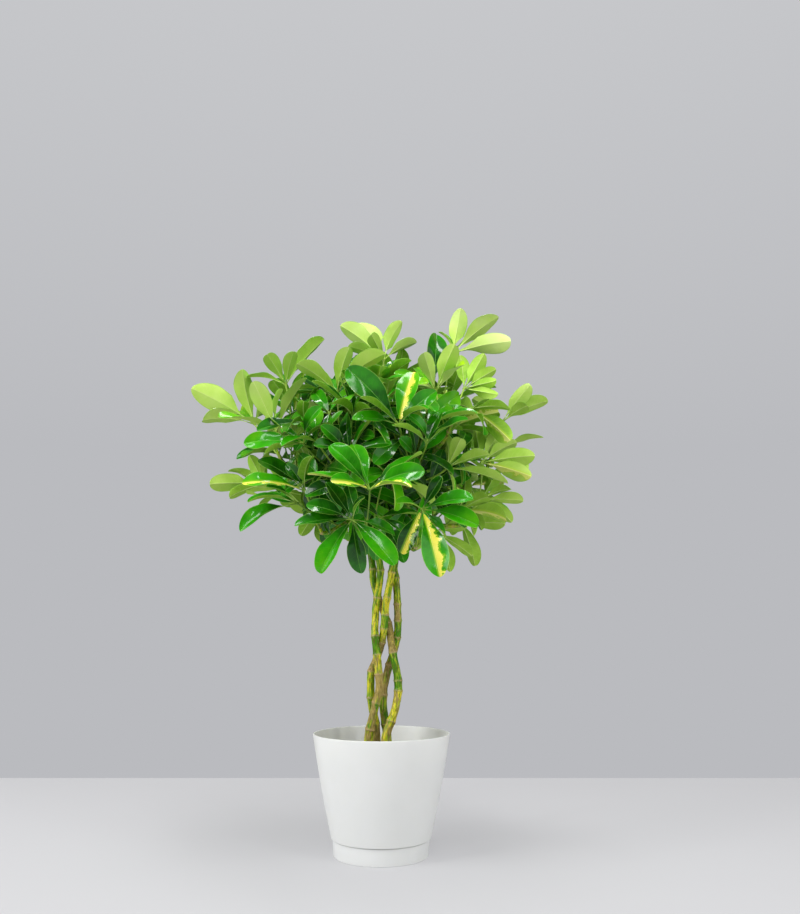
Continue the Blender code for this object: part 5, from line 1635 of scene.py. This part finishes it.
def leaf_tissue(name, greens, vein, midrib, margin, creams, vein_share, rib_share, relief, wax):
    """The shared drawing of a leaf's two faces: tone, side veins, midrib, edge and cream band.

    Each point's place is in millimetres across and along the blade, so the sizes here are millimetres too.
    """
    material, tree, shader = new_material(name)
    smooth = {"interpolation_type": "SMOOTHSTEP"}
    place = add(tree, "ShaderNodeAttribute", attribute_name="place").outputs["Vector"]
    across, lengthwise, _ = add(tree, "ShaderNodeSeparateXYZ", {0: place}).outputs
    finish = add(tree, "ShaderNodeAttribute", attribute_name="finish").outputs["Vector"]
    tone, cream_share, cream_side = add(tree, "ShaderNodeSeparateXYZ", {0: finish}).outputs
    edge_share = add(tree, "ShaderNodeAttribute", attribute_name="margin").outputs["Fac"]
    from_rib = add(tree, "ShaderNodeMath", {0: across}, operation="ABSOLUTE")

    # The green is cloudy over some 18 mm. It is darker near the hub and paler towards the tip: painted shade
    # where the blades crowd round the hub, and painted light towards the tip
    cloud = add(tree, "ShaderNodeTexNoise", {"Vector": place, "Scale": 1 / 18.18, "Detail": 2.0})
    clouds = add(tree, "ShaderNodeMath", {0: cloud, 1: 0.5, 2: -0.25}, operation="MULTIPLY_ADD")
    hub_shade_tip_light = add(tree, "ShaderNodeMapRange", {
        "Value": lengthwise, "From Min": 8.0, "From Max": 62.0, "To Min": -0.16, "To Max": 0.14}, **smooth)
    toned = add(tree, "ShaderNodeMath", {0: tone, 1: hub_shade_tip_light}, operation="ADD")
    clouded = add(tree, "ShaderNodeMath", {0: toned, 1: clouds}, operation="ADD", use_clamp=True)
    green = add(tree, "ShaderNodeValToRGB", {"Fac": clouded})
    stops = green.color_ramp.elements
    stops[0].color = linear(greens[0])
    stops[1].color = linear(greens[3])
    stops.new(0.35).color = linear(greens[1])
    stops.new(0.7).color = linear(greens[2])

    # Side veins leave the midrib every 6 mm, leaning forward, and fade towards the edge
    wander = add(tree, "ShaderNodeTexNoise", {"Vector": place, "Scale": 3 / 25, "Detail": 1.0})
    wandered = add(tree, "ShaderNodeMath", {0: wander, 1: 0.9}, operation="MULTIPLY")
    lean = add(tree, "ShaderNodeMath", {0: from_rib, 1: 0.75}, operation="MULTIPLY")
    leaned = add(tree, "ShaderNodeMath", {0: lengthwise, 1: lean}, operation="SUBTRACT")
    spaced = add(tree, "ShaderNodeMath", {0: leaned, 1: 6.0}, operation="DIVIDE")
    phase = add(tree, "ShaderNodeMath", {0: spaced, 1: wandered}, operation="ADD")
    from_vein = add(tree, "ShaderNodeMath", {0: phase, 1: 0.5}, operation="PINGPONG")
    on_vein = add(tree, "ShaderNodeMapRange", {
        "Value": from_vein, "From Min": 0.09, "From Max": 0.0}, **smooth)
    fade = add(tree, "ShaderNodeMapRange", {
        "Value": from_rib, "From Min": 13.0, "From Max": 3.0, "To Min": 0.25, "To Max": 1.0}, **smooth)
    veins = add(tree, "ShaderNodeMath", {0: on_vein, 1: fade}, operation="MULTIPLY")
    veined_share = add(tree, "ShaderNodeMath", {0: veins, 1: vein_share}, operation="MULTIPLY")
    veined = add(tree, "ShaderNodeMix", {0: veined_share, 6: green, 7: linear(vein)}, data_type="RGBA")

    # A cream band on one side of the midrib, whose edge jumps by a few millimetres, with a lime halo round it
    beside = add(tree, "ShaderNodeMath", {0: across, 1: cream_side}, operation="MULTIPLY")
    jumps = add(tree, "ShaderNodeTexNoise", {
        "Vector": place, "Scale": 3 / 25, "Detail": 4.0, "Roughness": 0.62})
    jumped = add(tree, "ShaderNodeMath", {0: jumps, 1: 27.0, 2: -8.0}, operation="MULTIPLY_ADD")
    reach = add(tree, "ShaderNodeMath", {0: cream_share, 1: jumped}, operation="MULTIPLY")
    inside = add(tree, "ShaderNodeMath", {0: reach, 1: beside}, operation="SUBTRACT")
    has_cream = add(tree, "ShaderNodeMath", {0: cream_share, 1: 0.01}, operation="GREATER_THAN")
    pale = add(tree, "ShaderNodeMix", {
        0: cloud, 6: linear(creams[1]), 7: linear(creams[2])}, data_type="RGBA")
    body = veined
    for colour, strength, outer, inner in (
        (linear(creams[0]), 0.7, (-3.6, -0.8), (-3.4, -1.8)),
        (pale, 1.0, (-0.3, 0.3), (-1.3, -0.5)),
    ):
        outer_edge = add(tree, "ShaderNodeMapRange", {
            "Value": inside, "From Min": outer[0], "From Max": outer[1]}, **smooth)
        inner_edge = add(tree, "ShaderNodeMapRange", {
            "Value": beside, "From Min": inner[0], "From Max": inner[1]}, **smooth)
        band = add(tree, "ShaderNodeMath", {0: outer_edge, 1: inner_edge}, operation="MULTIPLY")
        there = add(tree, "ShaderNodeMath", {0: band, 1: has_cream}, operation="MULTIPLY")
        share = add(tree, "ShaderNodeMath", {0: there, 1: strength}, operation="MULTIPLY")
        body = add(tree, "ShaderNodeMix", {0: share, 6: body, 7: colour}, data_type="RGBA")

    # The midrib is 0.8 mm wide, and the edge is the outer twentieth of each half: pale above, and darker
    # below, where it is painted shade along the underside's curled edge
    on_rib = add(tree, "ShaderNodeMapRange", {"Value": from_rib, "From Min": 0.6, "From Max": 0.2}, **smooth)
    on_edge = add(tree, "ShaderNodeMapRange", {
        "Value": edge_share, "From Min": 0.94, "From Max": 1.0}, **smooth)
    for drawn, strength, colour in ((on_rib, rib_share, midrib), (on_edge, 0.7, margin)):
        share = add(tree, "ShaderNodeMath", {0: drawn, 1: strength}, operation="MULTIPLY")
        body = add(tree, "ShaderNodeMix", {0: share, 6: body, 7: linear(colour)}, data_type="RGBA")

    # The blade is a little quilted between its sunken veins
    quilt = add(tree, "ShaderNodeMath", {0: cloud, 1: 0.8}, operation="MULTIPLY")
    sunken = add(tree, "ShaderNodeMath", {0: veins, 1: -0.6, 2: quilt}, operation="MULTIPLY_ADD")
    bump = add(tree, "ShaderNodeBump", {"Height": sunken, "Strength": relief, "Distance": 0.6 * MM})
    feed(tree, shader, {"Base Color": body, "Normal": bump, "IOR": 1.45, **wax})
    return material


# Upper leaf skin: dark green under a clear wax that mirrors the soft boxes as broad whitish streaks
leaf_top = leaf_tissue(
    "waxed_leaf_upper_skin", ("#0A4600", "#319A03", "#6ABA0E", "#AEDB20"), "#5FB02E", "#7CC24A", "#A4D65A",
    ("#86BC14", "#EADC1A", "#F1EC7C"), 0.12, 0.45, 0.20, {
        "Roughness": 0.30, "Specular IOR Level": 0.08, "Coat Weight": 0.8, "Coat IOR": 1.42,
        "Coat Roughness": 0.10})
# Leaf underside: pale lime without wax, dull, with a raised midrib and fine side veins, and an edge in
# painted shade
leaf_underside = leaf_tissue(
    "matt_leaf_underside", ("#68A41A", "#A2D044", "#BEDF66", "#CDE586"), "#CFE388", "#DCEB98", "#83B83A",
    ("#B9D640", "#DDE34A", "#E8EC94"), 0.16, 0.6, 0.3, {"Roughness": 0.5, "Specular IOR Level": 0.2})

for number, shoot in enumerate(shoots):
    blade_skin = Skin()
    for owner in shoot["leaves"]:
        for blade in leaves[owner]["leaflets"]:
            draw_leaflet(blade_skin, leaves[owner], blade)
    leaflets_name = shoot_nodes[number] + "_leaflets"
    put(leaflets_name, blade_skin.mesh(leaflets_name), [leaf_top, leaf_underside, stalk_skin],
        [shoot_nodes[number]], crease=60.0)

# Setting: a frosted light table that ends 0.54 m behind the plant, in front of a plain grey wall with painted
# light that makes it lighter at the top. The room is dim, and soft boxes light the plant from the left, above
# and the right.

TABLE_HALF = 4.0
TABLE_END = 0.54
table_mesh = bpy.data.meshes.new("table_top")
table_mesh.from_pydata(
    [(-TABLE_HALF, -TABLE_HALF, 0), (TABLE_HALF, -TABLE_HALF, 0), (TABLE_HALF, TABLE_END, 0),
     (-TABLE_HALF, TABLE_END, 0)], [], [(0, 1, 2, 3)])
table = bpy.data.objects.new("table_top", table_mesh)
bpy.context.scene.collection.objects.link(table)
# Frosted acrylic: half of its light comes from below, which keeps the shadows faint
table_finish, table_tree, table_shader = new_material("frosted_acrylic_light_table")
feed(table_tree, table_shader, {
    "Base Color": linear("#949495"), "Roughness": 0.85, "Emission Color": linear("#949497"),
    "Emission Strength": 1.0})
table_mesh.materials.append(table_finish)

world = bpy.data.worlds.new("grey_studio")
bpy.context.scene.world = world
world.use_nodes = True
room = world.node_tree
way = add(room, "ShaderNodeTexCoord").outputs["Generated"]
height = add(room, "ShaderNodeSeparateXYZ", {0: way}).outputs["Z"]
# What is seen of the room is its wall, with painted light that makes it lighter at the top
wall_light_share = add(room, "ShaderNodeMapRange", {"Value": height, "From Min": 0.20, "From Max": 0.66})
wall = add(room, "ShaderNodeMix", {
    0: wall_light_share, 6: linear("#BABBBF"), 7: linear("#C7C8CB")}, data_type="RGBA")
seen = add(room, "ShaderNodeBackground", {"Color": wall})
# Its light comes mostly from above, and black cloth keeps most of it out of what the wax mirrors
ray = add(room, "ShaderNodeLightPath")
from_above = add(room, "ShaderNodeMapRange", {
    "Value": height, "From Min": -0.2, "From Max": 1.0, "To Min": 0.34, "To Max": 0.60})
flagged = add(room, "ShaderNodeMapRange", {
    "Value": ray.outputs["Is Glossy Ray"], "To Min": 1.0, "To Max": 0.15})
strength = add(room, "ShaderNodeMath", {0: from_above, 1: flagged}, operation="MULTIPLY")
dim = add(room, "ShaderNodeBackground", {"Color": linear("#F6F6F6"), "Strength": strength})
mixed = add(room, "ShaderNodeMixShader", {0: ray.outputs["Is Camera Ray"], 1: dim, 2: seen})
feed(room, room.nodes["World Output"], {"Surface": mixed})


def soft_box(name, spot, aim, width, depth, power):
    """A soft light of a width and depth that looks from its spot to its aim."""
    lamp = bpy.data.lights.new(name, "AREA")
    lamp.shape = "RECTANGLE"
    lamp.size = width
    lamp.size_y = depth
    lamp.energy = power
    light = bpy.data.objects.new(name, lamp)
    light.location = spot
    light.rotation_euler = (Vector(aim) - Vector(spot)).to_track_quat("-Z", "Y").to_euler()
    light.visible_camera = False
    bpy.context.scene.collection.objects.link(light)


soft_box("key_light", (-1.8, -0.8, 1.2), (0.0, 0.0, 0.35), 1.2, 1.2, 23.0)
soft_box("fill_light", (1.7, -0.9, 1.0), (0.0, 0.0, 0.35), 1.3, 1.3, 6.5)
soft_box("front_strip", (0.0, -1.3, 1.5), (0.0, 0.0, 0.45), 1.5, 0.10, 5.0)
soft_box("top_light", (0.1, -0.3, 1.9), (0.0, 0.0, 0.5), 0.2, 1.2, 14.0)
# Tall narrow boxes that the wax of the leaves mirrors as white streaks
soft_box("left_strip", (-1.0, -0.9, 1.7), (0.0, 0.0, 0.5), 0.14, 1.3, 7.0)
soft_box("right_strip", (0.9, -1.1, 1.5), (0.0, 0.0, 0.5), 0.14, 1.3, 6.0)

FRAME_HEIGHT = 914          # the photograph's height and the lens's focal length, in its pixels
FOCAL_LENGTH = 848.2
SENSOR_HEIGHT = 36.0
CAMERA_SPOT = (0.02282, -1.1, 0.26651)
CAMERA_RISE = 11.498        # how far the camera looks up, in degrees
# Colours come out as they are set, like a catalogue photograph's
bpy.context.scene.view_settings.view_transform = "Standard"
camera_data = bpy.data.cameras.new("camera")
camera_data.sensor_fit = "VERTICAL"
camera_data.sensor_height = SENSOR_HEIGHT
camera_data.lens = FOCAL_LENGTH / FRAME_HEIGHT * SENSOR_HEIGHT
camera = bpy.data.objects.new("camera", camera_data)
camera.location = CAMERA_SPOT
camera.rotation_euler = (math.radians(90 + CAMERA_RISE), 0.0, 0.0)
bpy.context.scene.collection.objects.link(camera)
bpy.context.scene.camera = camera
